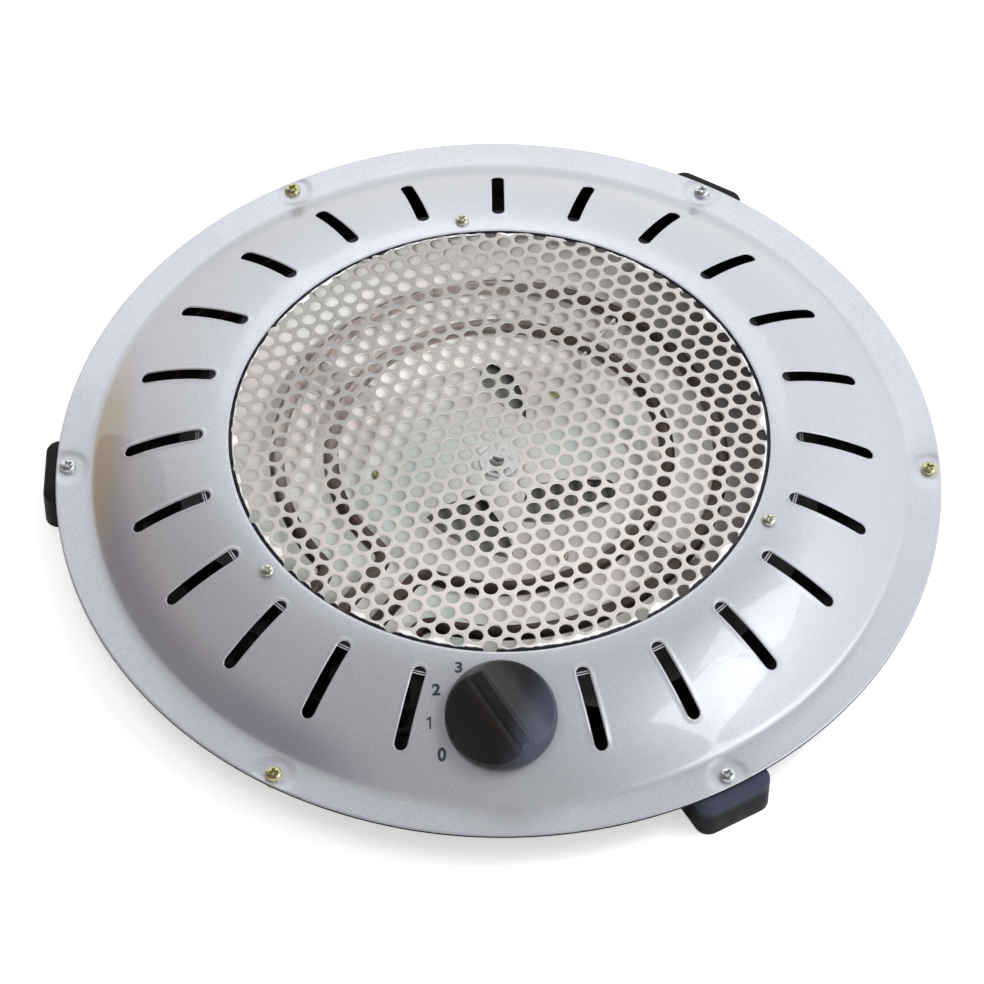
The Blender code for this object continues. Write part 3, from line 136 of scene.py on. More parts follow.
def finished(made, finish, body, nodes, angle):
    """A piece smoothed up to an angle, with its finish, its body and the nodes it stands for."""
    made.data.materials.clear()
    made.data.materials.append(finish)
    made.data.shade_smooth()
    made.data.set_sharp_from_angle(angle=math.radians(angle))
    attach(made, body)
    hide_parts(*nodes)


def linked(name, mesh):
    """An object for a mesh."""
    made = bpy.data.objects.new(name, mesh)
    bpy.context.scene.collection.objects.link(made)
    return made


def walled(name, surface, thickness):
    """An open surface given its wall on the inner side."""
    made = linked(name, surface.mesh(name, closed=False))
    wall = made.modifiers.new("wall", "SOLIDIFY")
    wall.thickness = thickness * MM
    wall.offset = -1.0
    wall.use_even_offset = True
    graph = bpy.context.evaluated_depsgraph_get()
    solid = bpy.data.meshes.new_from_object(made.evaluated_get(graph))
    made.modifiers.clear()
    made.data = solid
    return made


def moved(surface, matrix):
    """Turn and move every point of a surface by a matrix in millimetres."""
    m = np.array(matrix)
    surface.points = [p @ m[:3, :3].T + m[:3, 3] for p in surface.points]
    return surface


def piece(name, surface, finish, node, angle):
    """A finished piece of the heater made of a surface, in place of a node."""
    finished(linked(name, surface.mesh(name)), finish, "heater", [node], angle)


def smooth_step(x):
    """0 below 0, 1 above 1 and a soft S between."""
    x = np.clip(x, 0, 1)
    return x * x * (3 - 2 * x)


def soft_min(a, b, width):
    """The smaller of two fields with a round edge of about that width."""
    return (a + b - np.sqrt((a - b) ** 2 + width * width)) / 2


# Finishes


class Value:
    """A socket that carries a number. Sums and products of such values add Math nodes."""

    def __init__(self, finish, socket):
        self.finish, self.socket = finish, socket

    def math(self, operation, *terms):
        """A Math node."""
        return self.finish.add("ShaderNodeMath", {"operation": operation}, dict(enumerate(terms)))

    def __add__(self, other):
        return self.math("ADD", self, other)

    def __sub__(self, other):
        return self.math("SUBTRACT", self, other)

    def __rsub__(self, other):
        return self.math("SUBTRACT", other, self)

    def __mul__(self, other):
        return self.math("MULTIPLY", self, other)

    __radd__ = __add__
    __rmul__ = __mul__

    def between(self, low, high, first=0.0, last=1.0):
        """This value mapped from one range to another and kept inside it."""
        sockets = {0: self, 1: low, 2: high, 3: first, 4: last}
        return self.finish.add("ShaderNodeMapRange", {"interpolation_type": "SMOOTHSTEP"}, sockets)

    def inside(self, low, high, edge):
        """1 from low to high and 0 elsewhere, with soft edges of a width."""
        return self.between(low, low + edge) * (1.0 - self.between(high, high + edge))

    def least(self, other):
        """The smaller of two values."""
        return self.math("MINIMUM", self, other)


class Finish:
    """A material made node by node."""

    def __init__(self, name, **constants):
        self.material = bpy.data.materials.new(name)
        self.material.use_nodes = True
        self.tree = self.material.node_tree
        self.shader = self.tree.nodes["Principled BSDF"]
        for key, value in constants.items():
            self.set(key.replace("_", " ").title().replace("Ior", "IOR"), value)

    def put(self, socket, value):
        """A number or colour set on a socket, or a link to it."""
        if isinstance(value, Value):
            self.tree.links.new(value.socket, socket)
        else:
            socket.default_value = value

    def add(self, kind, settings=None, sockets=None, out=0):
        """A node of a type, its settings, its sockets' values or links; gives one of its outputs."""
        node = self.tree.nodes.new(kind)
        for key, value in (settings or {}).items():
            if key == "stops":
                ramp = node.color_ramp.elements
                while len(ramp) < len(value):
                    ramp.new(0.5)
                for stop, (position, colour) in zip(ramp, value):
                    stop.position = position
                    stop.color = (*colour, 1.0)
            else:
                setattr(node, key, value)
        for key, value in (sockets or {}).items():
            self.put(node.inputs[key], value)
        return Value(self, node.outputs[out])

    def set(self, name, value):
        """A socket of the shader."""
        if isinstance(value, tuple) and len(value) == 3:
            value = (*value, 1.0)
        self.put(self.shader.inputs[name], value)

    def place(self):
        """Where a point lies on the piece."""
        return self.add("ShaderNodeTexCoord", out="Object")

    def measure(self, operation, other):
        """A number worked out from a point's place and another vector, in metres."""
        sockets = {0: self.place(), 1: other}
        return self.add("ShaderNodeVectorMath", {"operation": operation}, sockets, "Value")

    def toward(self, *way):
        """How far a point lies along a direction."""
        return self.measure("DOT_PRODUCT", way)

    def away(self, *spot):
        """How far a point lies from a spot."""
        return self.measure("DISTANCE", spot)

    def noise(self, scale, detail=3.0, rough=0.55, at=None):
        """Cloudy noise from 0 to 1."""
        sockets = {"Vector": at or self.place(), "Scale": scale, "Detail": detail, "Roughness": rough}
        return self.add("ShaderNodeTexNoise", {}, sockets)

    def specks(self, scale):
        """Distance to the nearest of many scattered points."""
        return self.add("ShaderNodeTexVoronoi", {}, {"Vector": self.place(), "Scale": scale}, "Distance")

    def stretched(self, scale, turn=(0.0, 0.0, 0.0)):
        """Places squeezed along an axis, for a brushed pattern."""
        sockets = {"Vector": self.place(), "Scale": scale, "Rotation": turn}
        return self.add("ShaderNodeMapping", {}, sockets)

    def mix(self, factor, first, second):
        """A colour between two."""
        first, second = [(*c, 1.0) if isinstance(c, tuple) else c for c in (first, second)]
        sockets = {0: factor, 6: first, 7: second}
        return self.add("ShaderNodeMix", {"data_type": "RGBA"}, sockets, 2)

    def ramp(self, factor, *stops):
        """A colour ramp."""
        return self.add("ShaderNodeValToRGB", {"stops": stops}, {0: factor})

    def rough(self, scale, *span):
        """Roughness from noise of a scale, mapped from one range to another."""
        self.set("Roughness", self.noise(scale).between(*span))

    def bump(self, height, depth, strength):
        """Relief of a depth in millimetres."""
        sockets = {"Height": height, "Distance": depth * MM, "Strength": strength}
        self.set("Normal", self.add("ShaderNodeBump", {}, sockets))


def silver_paint():
    """Glossy silver-grey stove paint: fine flakes, faint orange peel and a clear top coat.

    A dimple lies round each screw of the rim. The left of the crease is painted darker as shade, with a
    painted warm reflection at its top.
    """
    f = Finish("silver_paint", metallic=0.45, coat_weight=1.0, coat_roughness=0.03)
    tone = f.mix(f.noise(9.0, 2.0).between(0.3, 0.7), (0.50, 0.515, 0.565), (0.54, 0.555, 0.605))
    bright = f.mix(f.noise(2400.0, 1.0).between(0.45, 0.7), tone, (0.64, 0.655, 0.70))
    flange, circle = FLANGE_TOP * MM, SCREW_CIRCLE * MM
    out = f.away(0, 0, flange)
    crease = out.between(0.154, 0.169) * (1.0 - out.between(0.1735, 0.1755))
    # Painted shade on the left of the crease, and a painted warm reflection at its top.
    left = f.toward(-0.906, -0.423, 0.0).between(0.108, 0.140)
    golden = f.toward(-0.985, 0.174, 0.0).between(0.150, 0.168)
    shade = f.mix(golden, (0.355, 0.365, 0.45), (0.50, 0.435, 0.345))
    f.set("Base Color", f.mix(crease * left, bright, shade))
    f.rough(60.0, 0.2, 0.8, 0.34, 0.40)
    near = f.away(circle, 0.0, flange)
    for turn in RIM_SCREWS[1:]:
        near = near.least(f.away(circle * math.cos(turn), circle * math.sin(turn), flange))
    dimple = near.between(0.0062, 0.0098, -150.0, 0.0)
    f.bump(f.noise(420.0, 2.0) + 0.6 * f.noise(55.0, 1.0) + dimple, 0.012, 0.25)
    return f.material


def bright_zinc():
    """Bright zinc plate with faint tints, painted greyer as shade round a spot left of the middle, and pale
    in the holes.

    It is painted black as shade in the gap at the mouth and beyond it, but for painted highlight stripes on
    the front of the two beads of the flange.
    """
    f = Finish("bright_zinc", metallic=0.08, specular_ior_level=0.3)
    tint = f.noise(14.0)
    colour = f.ramp(tint, (0.30, (0.29, 0.30, 0.29)), (0.5, (0.31, 0.30, 0.29)), (0.7, (0.33, 0.302, 0.29)))
    # Painted shade: greyer round a spot left of the middle, lighter and warmer further out.
    far = f.away(-0.030, 0.035, 0.045).between(0.035, 0.140)
    spot_shade = f.mix(far, (0.25, 0.243, 0.236), (0.66, 0.615, 0.59))
    stain = f.noise(160.0, 4.0).between(0.35, 0.75)
    # Real stains, mixed over the painted shade.
    stain_and_shade = f.mix(0.15 * stain, f.mix(0.85, colour, spot_shade), (0.30, 0.285, 0.275))
    out = f.away(0, 0, 0.044)
    top, curve = (GRILLE_HEIGHT + GRILLE_RISE) * MM, GRILLE_RISE / GRILLE_EDGE ** 2 / MM
    under_dome = top - curve * out * out - f.toward(0, 0, 1)
    # The hole walls and the lower face are pale.
    pale_underneath = f.mix(under_dome.between(0.0001, 0.0005), stain_and_shade, (0.93, 0.93, 0.92))
    # Painted shade: near-black in the gap at the mouth and under the cover beyond it.
    shaded = f.mix(out.between(0.1136, 0.1139), pale_underneath, (0.016, 0.016, 0.024))
    # Painted highlights: pale stripes on the front of the two beads of the flange.
    beads = out.inside(0.12795, 0.1284, 0.0001) + out.inside(0.12895, 0.1294, 0.0001)
    front = f.toward(0, -1, 0).between(-0.02, 0.04)
    f.set("Base Color", f.mix(beads * front, shaded, (0.62, 0.62, 0.65)))
    f.rough(220.0, 0.25, 0.75, 0.30, 0.44)
    f.bump(f.noise(500.0), 0.012, 0.25)
    return f.material


def polished_reflector():
    """Polished sheet with rolling lines and pale tints of heat.

    It is painted darker in its middle, dark towards its right and front, and black at its rim, all as
    painted shade.
    """
    f = Finish("polished_reflector", metallic=0.25, specular_ior_level=0.4)
    tint = f.noise(13.0, 2.5)
    colour = f.ramp(tint, (0.30, (0.80, 0.93, 0.88)), (0.5, (0.95, 0.93, 0.87)), (0.70, (0.97, 0.84, 0.83)))
    # Painted shade: dark towards the right and front, darker in the middle and black at the rim.
    back_left = f.toward(-0.7071, 0.7071, 0).between(-0.02, 0.06)
    shaded_band = f.away(0, 0, 0.015).between(0.085, 0.112) * (1.0 - back_left)
    shaded_colour = f.mix(shaded_band, colour, (0.19, 0.18, 0.175))
    inner = f.mix(0.45, (0.06, 0.06, 0.06), colour)
    rim = f.away(-0.004, 0.018, 0.015).between(0.117, 0.125)
    middle = f.away(0, 0, 0.018).between(0.040, 0.090)
    f.set("Base Color", f.mix(rim, f.mix(middle, inner, shaded_colour), (0.012, 0.012, 0.014)))
    lines = f.noise(30.0, at=f.stretched((14.0, 1.0, 1.0), (0.0, 0.0, 0.4)))
    f.set("Roughness", lines.between(0.3, 0.7, 0.28, 0.36))
    f.bump(f.noise(18.0, 2.0) + 0.03 * lines, 0.25, 0.5)
    return f.material


def heated_sheath():
    """Element tube of dull alloy, brown and straw where it has been hot, and painted bright at the back
    left as a painted reflection.
    """
    f = Finish("heated_sheath", metallic=0.85)
    hot = f.noise(22.0, 4.0)
    colour = f.ramp(hot, (0.3, (0.06, 0.04, 0.036)), (0.5, (0.12, 0.08, 0.064)), (0.72, (0.22, 0.17, 0.14)))
    # Painted reflection: the tube is made bright towards the back left.
    plain_or_painted_reflection = f.toward(-0.7071, 0.7071, 0).between(0.025, 0.085, 0.0, 0.85)
    colour = f.mix(plain_or_painted_reflection, colour, (0.74, 0.64, 0.60))
    f.set("Base Color", f.mix(f.noise(260.0).between(0.5, 0.75, 0.0, 0.5), colour, (0.06, 0.05, 0.05)))
    f.rough(120.0, 0.3, 0.7, 0.32, 0.55)
    f.bump(f.noise(900.0), 0.03, 0.4)
    return f.material


def moulded_black(name, gloss, grain, shine, bluish):
    """Black moulded plastic with a fine spark-eroded grain, light scuffs and a painted bluish sheen, a
    painted reflection.

    The painted sheen lies where every one of some directions runs past its range of distances.
    """
    f = Finish(name, specular_ior_level=shine)
    scuff = f.noise(90.0, 5.0, at=f.stretched((1.0, 5.0, 1.0))).between(0.58, 0.8)
    black = f.mix(scuff, (0.009, 0.009, 0.010), (0.022, 0.022, 0.024))
    # Painted reflection: a bluish sheen on one side, not a colour of the plastic.
    sheen = 1.0
    for way, low, high in bluish:
        sheen = sheen * f.toward(*way).between(low, high)
    f.set("Base Color", f.mix(sheen, black, (0.050, 0.056, 0.092)))
    f.rough(150.0, 0.2, 0.8, gloss - 0.05, gloss + 0.08)
    f.bump(f.specks(1400.0) + f.noise(2200.0, 2.0), grain, 0.5)
    return f.material


def black_enamel():
    """Black enamel with a slight ripple, grey in the middle where the reflector is open above it: dust, and
    painted light from the openings.
    """
    f = Finish("black_enamel", coat_weight=0.2, coat_roughness=0.2, specular_ior_level=0.2)
    plain_or_painted_reflection = f.mix(f.noise(40.0), (0.006, 0.006, 0.008), (0.012, 0.012, 0.013))
    # Dust and painted light: grey where light falls through the reflector's openings, plain black enamel
    # further out.
    dust_and_light = f.mix(f.noise(90.0, 4.0), (0.13, 0.15, 0.145), (0.22, 0.215, 0.19))
    f.set("Base Color", f.mix(f.away(0, 0, 0.006).between(0.072, 0.090), dust_and_light, plain_or_painted_reflection))
    f.rough(80.0, 0.2, 0.8, 0.28, 0.42)
    f.bump(f.noise(300.0, 2.0), 0.02, 0.4)
    return f.material


def plated(name, low, high, rough):
    """Zinc-plated steel with a soft change of tone."""
    f = Finish(name, metallic=1.0)
    f.set("Base Color", f.mix(f.noise(260.0, 4.0).between(0.3, 0.7), low, high))
    f.rough(500.0, 0.25, 0.75, rough - 0.07, rough + 0.1)
    f.bump(f.noise(1500.0), 0.012, 0.4)
    return f.material


def dull(name, low, high, rough, scale, depth):
    """A dull moulded or fired surface of two near tones."""
    f = Finish(name)
    f.set("Base Color", f.mix(f.noise(scale, 4.0).between(0.3, 0.7), low, high))
    f.rough(scale * 2, 0.2, 0.8, rough - 0.06, rough + 0.08)
    f.bump(f.noise(scale * 5), depth, 0.5)
    return f.material


PAINT = silver_paint()
ZINC = bright_zinc()
REFLECTOR = polished_reflector()
SHEATH = heated_sheath()
# The knob takes a painted sheen on its right, and the front foot a painted sheen along its top.
KNOB_BLACK = moulded_black("knob_black", 0.34, 0.010, 0.5, [((0.94, -0.34, 0.0), 0.053, 0.068)])
FOOT_BLACK = moulded_black("foot_black", 0.45, 0.018, 0.15,
                           [((0.0, -1.0, 0.0), 0.12, 0.15), ((0.0, 0.0, 1.0), 0.010, 0.017)])
ENAMEL = black_enamel()
WHITE_ZINC = plated("white_zinc", (0.66, 0.68, 0.70), (0.80, 0.81, 0.82), 0.26)
YELLOW_ZINC = plated("yellow_zinc", (0.60, 0.56, 0.30), (0.72, 0.70, 0.46), 0.28)
PALE_ZINC = plated("pale_zinc", (0.56, 0.56, 0.45), (0.76, 0.76, 0.66), 0.24)
STEEL = dull("dull_steel", (0.62, 0.60, 0.57), (0.72, 0.70, 0.67), 0.50, 160.0, 0.03)
# The ceramic parts are painted near-black as shade, for they sit in shade under the cover.
SHADED_CERAMIC = dull("dark_ceramic", (0.014, 0.013, 0.012), (0.022, 0.020, 0.018), 0.65, 60.0, 0.05)
SWITCH = dull("switch_plastic", (0.012, 0.012, 0.013), (0.018, 0.018, 0.019), 0.55, 90.0, 0.03)
RUBBER = dull("grey_rubber", (0.04, 0.04, 0.045), (0.065, 0.065, 0.07), 0.68, 120.0, 0.06)
BROWN = dull("wire_brown", (0.022, 0.012, 0.008), (0.030, 0.016, 0.010), 0.6, 200.0, 0.03)
BLUE = dull("wire_blue", (0.008, 0.012, 0.035), (0.010, 0.016, 0.045), 0.6, 200.0, 0.03)
SLEEVE = dull("black_sleeve", (0.010, 0.010, 0.011), (0.018, 0.018, 0.019), 0.7, 200.0, 0.05)
GREEN = dull("wire_green", (0.014, 0.030, 0.008), (0.022, 0.040, 0.010), 0.6, 200.0, 0.03)
INK = dull("numeral_ink", (0.030, 0.035, 0.060), (0.045, 0.050, 0.080), 0.40, 300.0, 0.01)

NODE_FINISHES = (
    (WHITE_ZINC, "centre_spacer", "reflector_spacer", "neutral_link", "switch_shaft", "switch_screw"),
    (YELLOW_ZINC, "earth_screw"),
    (STEEL, "element_clip"),
    (SWITCH, "element_bracket", "switch_body"),
    (SHADED_CERAMIC, "terminal_block", "thermal_cutout"),
    (GREEN, "earth_wire"),
    (BROWN, "feed_wire", "switch_wire"),
    (BLUE, "return_wire"),
    (SLEEVE, "inner_wire", "outer_wire"),
)


def dress_nodes():
    """Give every node that stays in the picture its finish, by the start of its name."""
    for name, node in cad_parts.items():
        for finish, *starts in NODE_FINISHES:
            if name.startswith(tuple(starts)):
                node.data.materials.clear()
                node.data.materials.append(finish)


# Cover


def cover_height(r):
    """Height of the cover's upper face at a radius.

    The dome adds its height times 1 - (1 - s)^power, where the share s runs softly from 0 at the crease
    to 1 at the mouth. Both edges are rounded down.
    """
    share = (CREASE - r) / (CREASE - MOUTH)
    share = np.minimum((share + np.sqrt(share ** 2 + CREASE_SOFTNESS ** 2)) / 2, 1.0)
    height = FLANGE_TOP + DOME * (1 - (1 - share) ** DOME_POWER)
    height = height - MOUTH_FALL * np.clip((MOUTH + EDGE_ROUND - r) / EDGE_ROUND, 0, 1) ** 2
    return height - RIM_FALL * np.clip((r - RIM + EDGE_ROUND) / EDGE_ROUND, 0, 1) ** 2


def on_cover(x, y, drop=0.0):
    """Points of the cover's upper face over (x, y), with a shallow dimple at each screw of the rim."""
    r = np.hypot(x, y)
    z = cover_height(r) - drop
    off_rim = smooth_step((RIM - r) / 1.5)
    for turn in RIM_SCREWS:
        away = np.hypot(x - SCREW_CIRCLE * np.cos(turn), y - SCREW_CIRCLE * np.sin(turn))
        z = z - DIMPLE_DEPTH * smooth_step((DIMPLE_REACH - away) / DIMPLE_SLOPE) * off_rim
    return np.stack([x, y, z], axis=-1)


def sector_frame():
    """Points round a sector's edge from its inner right corner, round its slot and round a shaft's hole."""
    half = np.pi / SECTORS
    side = np.linspace(SLOT_NEAR, SLOT_FAR, ALONG + 1)[:-1]
    turn = np.linspace(-half, half, ACROSS + 1)[:-1]
    back = side[::-1] + side[1] - side[0]
    radii = np.concatenate([side, np.full(ACROSS, SLOT_FAR), back, np.full(ACROSS, SLOT_NEAR)])
    turns = np.concatenate([np.full(ALONG, -half), turn, np.full(ALONG, half), -turn])
    edge = polar(radii, turns)
    run = np.linspace(SLOT_FIRST, SLOT_LAST, ALONG + 1)[:-1]
    cap = np.linspace(-np.pi / 2, np.pi / 2, ACROSS + 1)[:-1]
    slot = np.concatenate([
        np.stack([run, np.full(ALONG, -SLOT_HALF)], -1),
        (SLOT_LAST, 0) + polar(SLOT_HALF, cap),
        np.stack([run[::-1] + run[1] - run[0], np.full(ALONG, SLOT_HALF)], -1),
        (SLOT_FIRST, 0) - polar(SLOT_HALF, cap),
    ])
    sides = ((-3, ALONG), (-1, ACROSS), (1, ALONG), (3, ACROSS))
    way = np.concatenate([np.linspace(first, first + 2, steps + 1)[:-1] for first, steps in sides])
    return edge, slot, (KNOB_CIRCLE, 0) + polar(SHAFT_HOLE, way * np.pi / 4)


def make_cover():
    """Pressed cover: rings of points from each slot to its sector's edge, and plain rings on both sides."""
    edge, slot, shaft = sector_frame()
    rings = np.array([0, 0.025, 0.055, 0.10, 0.17, 0.28, 0.43, 0.64, 1.0])[:, None, None]
    cover = Surface()
    for i in range(SECTORS):
        knob_place = i == 3 * SECTORS // 4
        hole = shaft if knob_place else slot
        u, v = np.moveaxis(hole + rings * (edge - hole), -1, 0)
        away = np.hypot(u - np.clip(u, SLOT_FIRST, SLOT_LAST), v) - SLOT_HALF
        bead = BEAD_RISE * smooth_step(away / SLOT_ROUND) * smooth_step((BEAD_REACH - away) / BEAD_SLOPE)
        drop = 0.0 if knob_place else SLOT_FALL * np.clip(1 - away / SLOT_ROUND, 0, 1) ** 2 - bead
        turn = i * 2 * np.pi / SECTORS
        c, s = math.cos(turn), math.sin(turn)
        cover.grid(on_cover(u * c - v * s, u * s + v * c, drop), wrap=True)
    turns = np.arange(SECTORS * ACROSS) * 2 * np.pi / (SECTORS * ACROSS) + np.pi / SECTORS
    inner = [MOUTH, MOUTH + 0.25, MOUTH + 0.6, MOUTH + 1.5, MOUTH + 3.4, SLOT_NEAR]
    outer = [SLOT_FAR, 167.5, 169.5, 171, 172, 172.8, 173.5, 174.1, 174.7, 175.4, 176.2, 177.2, 178.3]
    outer += [179.5, 180.8, 182.2, 183.6, 185, 186.3, 187.5, 188.5, 189.1, 189.5, 189.8, RIM]
    for radii in (inner, outer):
        r = np.array(radii, float)[:, None]
        cover.grid(on_cover(r * np.cos(turns), r * np.sin(turns)), wrap=True)
    made = walled("top_cover_pressing", cover, SHEET)
    finished(made, PAINT, "heater", ["top_cover"], 50)


# Grille


def grille_profile():
    """The grille's upper face outwards: a shallow dome, a round shoulder, a short wall and a flange."""
    r = np.linspace(0, GRILLE_EDGE, 60)
    dome = np.stack([r, GRILLE_HEIGHT + GRILLE_RISE * (1 - (r / GRILLE_EDGE) ** 2)], -1)
    bend = np.linspace(0, np.pi / 2, 7)[1:]
    out, up = SHOULDER_OUT * np.sin(bend), SHOULDER_UP * np.cos(bend)
    shoulder = np.stack([SHOULDER_RADIUS + out, SHOULDER_HEIGHT + up], -1)
    flange = np.linspace(MOUTH + 0.3, GRILLE_FLANGE, 12)
    under = np.stack([flange, cover_height(np.maximum(flange, MOUTH + EDGE_ROUND)) - 1.1], -1)
    points = np.concatenate([dome, shoulder, under])
    along = np.concatenate([[0], np.cumsum(np.hypot(*np.diff(points, axis=0).T))])
    return points, along


def lattice(reach):
    """Middles of six-sided cells over a disc, points round a cell's edge and points round a unit circle."""
    count = int(reach / PITCH) + 3
    j, i = np.meshgrid(np.arange(-count, count + 1), np.arange(-count, count + 1), indexing="ij")
    x = ((i + (j % 2) / 2) * PITCH).ravel()
    y = (j * PITCH * math.sqrt(3) / 2).ravel()
    c, s = math.cos(LATTICE_TURN), math.sin(LATTICE_TURN)
    middles = np.stack([x * c - y * s, x * s + y * c], -1) + LATTICE_SHIFT
    middles = middles[np.hypot(*middles.T) < reach + PITCH * 0.6]
    corners = np.pi / 6 + np.arange(7) * np.pi / 3
    hexagon = polar(PITCH / math.sqrt(3), corners)
    thirds = np.arange(3)[:, None] / 3
    edge = np.concatenate([a + thirds * (b - a) for a, b in zip(hexagon, hexagon[1:])])
    ways = np.pi / 6 + np.arange(CELL_POINTS) * np.pi / (CELL_POINTS / 2)
    turned = np.array([[c, s], [-s, c]])
    return middles, edge @ turned, polar(1.0, ways) @ turned


def make_grille():
    """Perforated dome: six-sided cells, each with a round hole, laid over the profile by arc length."""
    points, along = grille_profile()
    reach = along[-1]
    middles, edge, circle = lattice(reach)
    grille = Surface()

    def laid(flat, depth):
        """Flat points and their depths under the upper face, laid over the profile."""
        far = np.hypot(flat[..., 0], flat[..., 1])
        rho = np.minimum(far, reach)
        depth = depth * (far < reach)
        before, here, after = [
            np.array([np.interp(rho + step, along, axis) for axis in points.T]) for step in (-0.4, 0, 0.4)
        ]
        (r, z), (dr, dz) = here, after - before
        length = np.hypot(dr, dz) + 1e-9
        r, z = r + depth * dz / length, z - depth * dr / length
        way = flat / np.maximum(far, 1e-9)[..., None]
        return np.concatenate([way * r[..., None], z[..., None]], -1), far

    def add_cells(middles, rings, depths, cell):
        """Cells from rings of points at some depths, less the faces wholly beyond the profile's end."""
        flat = middles[:, None, None, :] + np.stack(rings)
        spots, far = laid(flat, np.broadcast_to(np.array(depths)[:, None], flat.shape[:-1]))
        faces = (cell + (np.arange(len(middles)) * len(rings) * CELL_POINTS)[:, None, None]).reshape(-1, 4)
        beyond = (far.ravel()[faces] >= reach).all(-1)
        grille.add(spots, faces[~beyond])

    holed = np.hypot(*middles.T) < HOLE_LIMIT
    soft, hole = circle * (HOLE + HOLE_SOFTNESS), circle * HOLE
    cell = grid_faces(5, CELL_POINTS, True)
    add_cells(middles[holed], [edge, soft, hole, hole, edge], [0.0, 0.0, 0.14, SHEET, SHEET], cell)
    face = grid_faces(2, CELL_POINTS, True)
    cell = np.concatenate([face, face + 2 * CELL_POINTS])
    add_cells(middles[~holed], [edge * 0, edge, edge, edge * 0], [0.0, 0.0, SHEET, SHEET], cell)
    border = [(124.2, 0), (127.7, 0), (127.9, 0.05), (128.15, 0.35), (128.4, 0.4), (128.6, 0.1),
              (128.9, 0.05), (129.1, 0.35), (129.3, 0.4), (129.5, 0.1), (129.5, -0.5), (128, -0.55),
              (124.2, -0.55), (124.2, 0)]
    grille.spun([(r, cover_height(r) - 1.15 + rise) for r, rise in border], 360)
    piece("perforated_grille", grille, ZINC, "grille", 40)


# Knob and numerals

KNOB_HEIGHT, KNOB_TILT = 38.0503, math.radians(21.8137)
KNOB_R, KNOB_LOW, KNOB_TOP = 23.05, 0.8, 14.3
GRIP_HALF, GRIP_TURN = 2.5, math.radians(125)
SCOOP_REACH, SCOOP_FLOOR = 21.4, 5.0
FIGURE = 7.0
NUMERALS = (("0", 28.45, 212.4), ("1", 29.15, 184.5), ("2", 28.8, 156.5), ("3", 27.8, 128.5))


def knob_matrix():
    """The knob's frame in millimetres: Z along the switch's shaft, X to the right."""
    return Matrix.Translation((0.0, -KNOB_CIRCLE, KNOB_HEIGHT)) @ Matrix.Rotation(KNOB_TILT, 4, "X")


def knob_height(x, y):
    """Height of the knob: the turned body cut away at both sides of the grip by a quarter ellipse."""
    r = np.hypot(x, y)
    stops = [0, 12, 17.6, 18.7, 22.2, 22.75, KNOB_R]
    body = np.interp(r, stops, [KNOB_TOP, 14.28, 14.1, 13.4, 5.5, 4.2, 2.6])
    share = np.clip((SCOOP_REACH - np.abs(y)) / (SCOOP_REACH - GRIP_HALF), 0, 1)
    scoop = SCOOP_FLOOR + (KNOB_TOP - SCOOP_FLOOR) * (1 - np.sqrt(1 - share ** 2))
    scoop = np.where(np.abs(y) < GRIP_HALF, KNOB_TOP + (GRIP_HALF - np.abs(y)) * 6, scoop)
    return np.minimum(soft_min(body, scoop, 0.7), KNOB_TOP)


def make_knob():
    """Selector knob: a field of heights in rows across the grip, over a skirt and a hollow underside."""
    steps, lanes, lock = 72, 56, 4.5
    ways = np.pi * np.arange(steps + 1) / steps
    x = -KNOB_R * np.cos(ways)
    fine = np.linspace(0, KNOB_R, 4000)
    length = np.concatenate([[0], np.cumsum(np.hypot(np.diff(fine), np.diff(knob_height(0 * fine, fine))))])
    spread = np.interp(np.linspace(0, length[-1], lanes), length, fine)
    spread = np.concatenate([-spread[:0:-1], spread])
    wide = KNOB_R * np.sin(ways)
    stretch = np.maximum(wide - lock, 0) / (KNOB_R - lock)
    far = np.abs(spread)[None, :]
    y = np.where(far < lock, far, lock + (far - lock) * stretch[:, None])
    y = np.sign(spread) * np.minimum(y, wide[:, None] * np.maximum(far / KNOB_R, 0.0) ** 0.02)
    y = np.where(wide[:, None] < lock, wide[:, None] * spread / KNOB_R, y)
    x = np.broadcast_to(x[:, None], y.shape)
    knob = Surface()
    knob.grid(np.stack([x, y, knob_height(x, y)], -1))
    turns = -np.pi + 2 * np.pi * np.arange(2 * steps) / (2 * steps)
    skirt = [(KNOB_R, 2.6), (KNOB_R, 1.9), (KNOB_R, 1.1), (KNOB_R - 0.25, KNOB_LOW),
             (KNOB_R - 1.7, KNOB_LOW), (KNOB_R - 2.6, 3.0), (6.0, 3.0), (6.0, KNOB_LOW), (0.0, KNOB_LOW)]
    r, z = np.array(skirt).T
    top = knob_height(KNOB_R * np.cos(turns), KNOB_R * np.sin(turns))
    heights = np.concatenate([top[None], np.broadcast_to(z[1:, None], (len(skirt) - 1, len(turns)))])
    knob.grid(polar(r[:, None], turns, heights), wrap=True)
    moved(knob, knob_matrix() @ Matrix.Rotation(GRIP_TURN, 4, "Z"))
    made = linked("selector_knob", knob.mesh("selector_knob"))
    finished(made, KNOB_BLACK, "selector", ["knob"], 40)


def figure_mesh(text):
    """A printed figure, flat, in metres."""
    curve = bpy.data.curves.new("numeral_" + text, "FONT")
    curve.body = text
    curve.size = FIGURE * MM
    curve.offset = 0.26 * MM
    curve.align_x, curve.align_y = "CENTER", "CENTER"
    holder = linked("numeral_" + text, curve)
    mesh = bpy.data.meshes.new_from_object(holder.evaluated_get(bpy.context.evaluated_depsgraph_get()))
    bpy.data.objects.remove(holder, do_unlink=True)
    return mesh


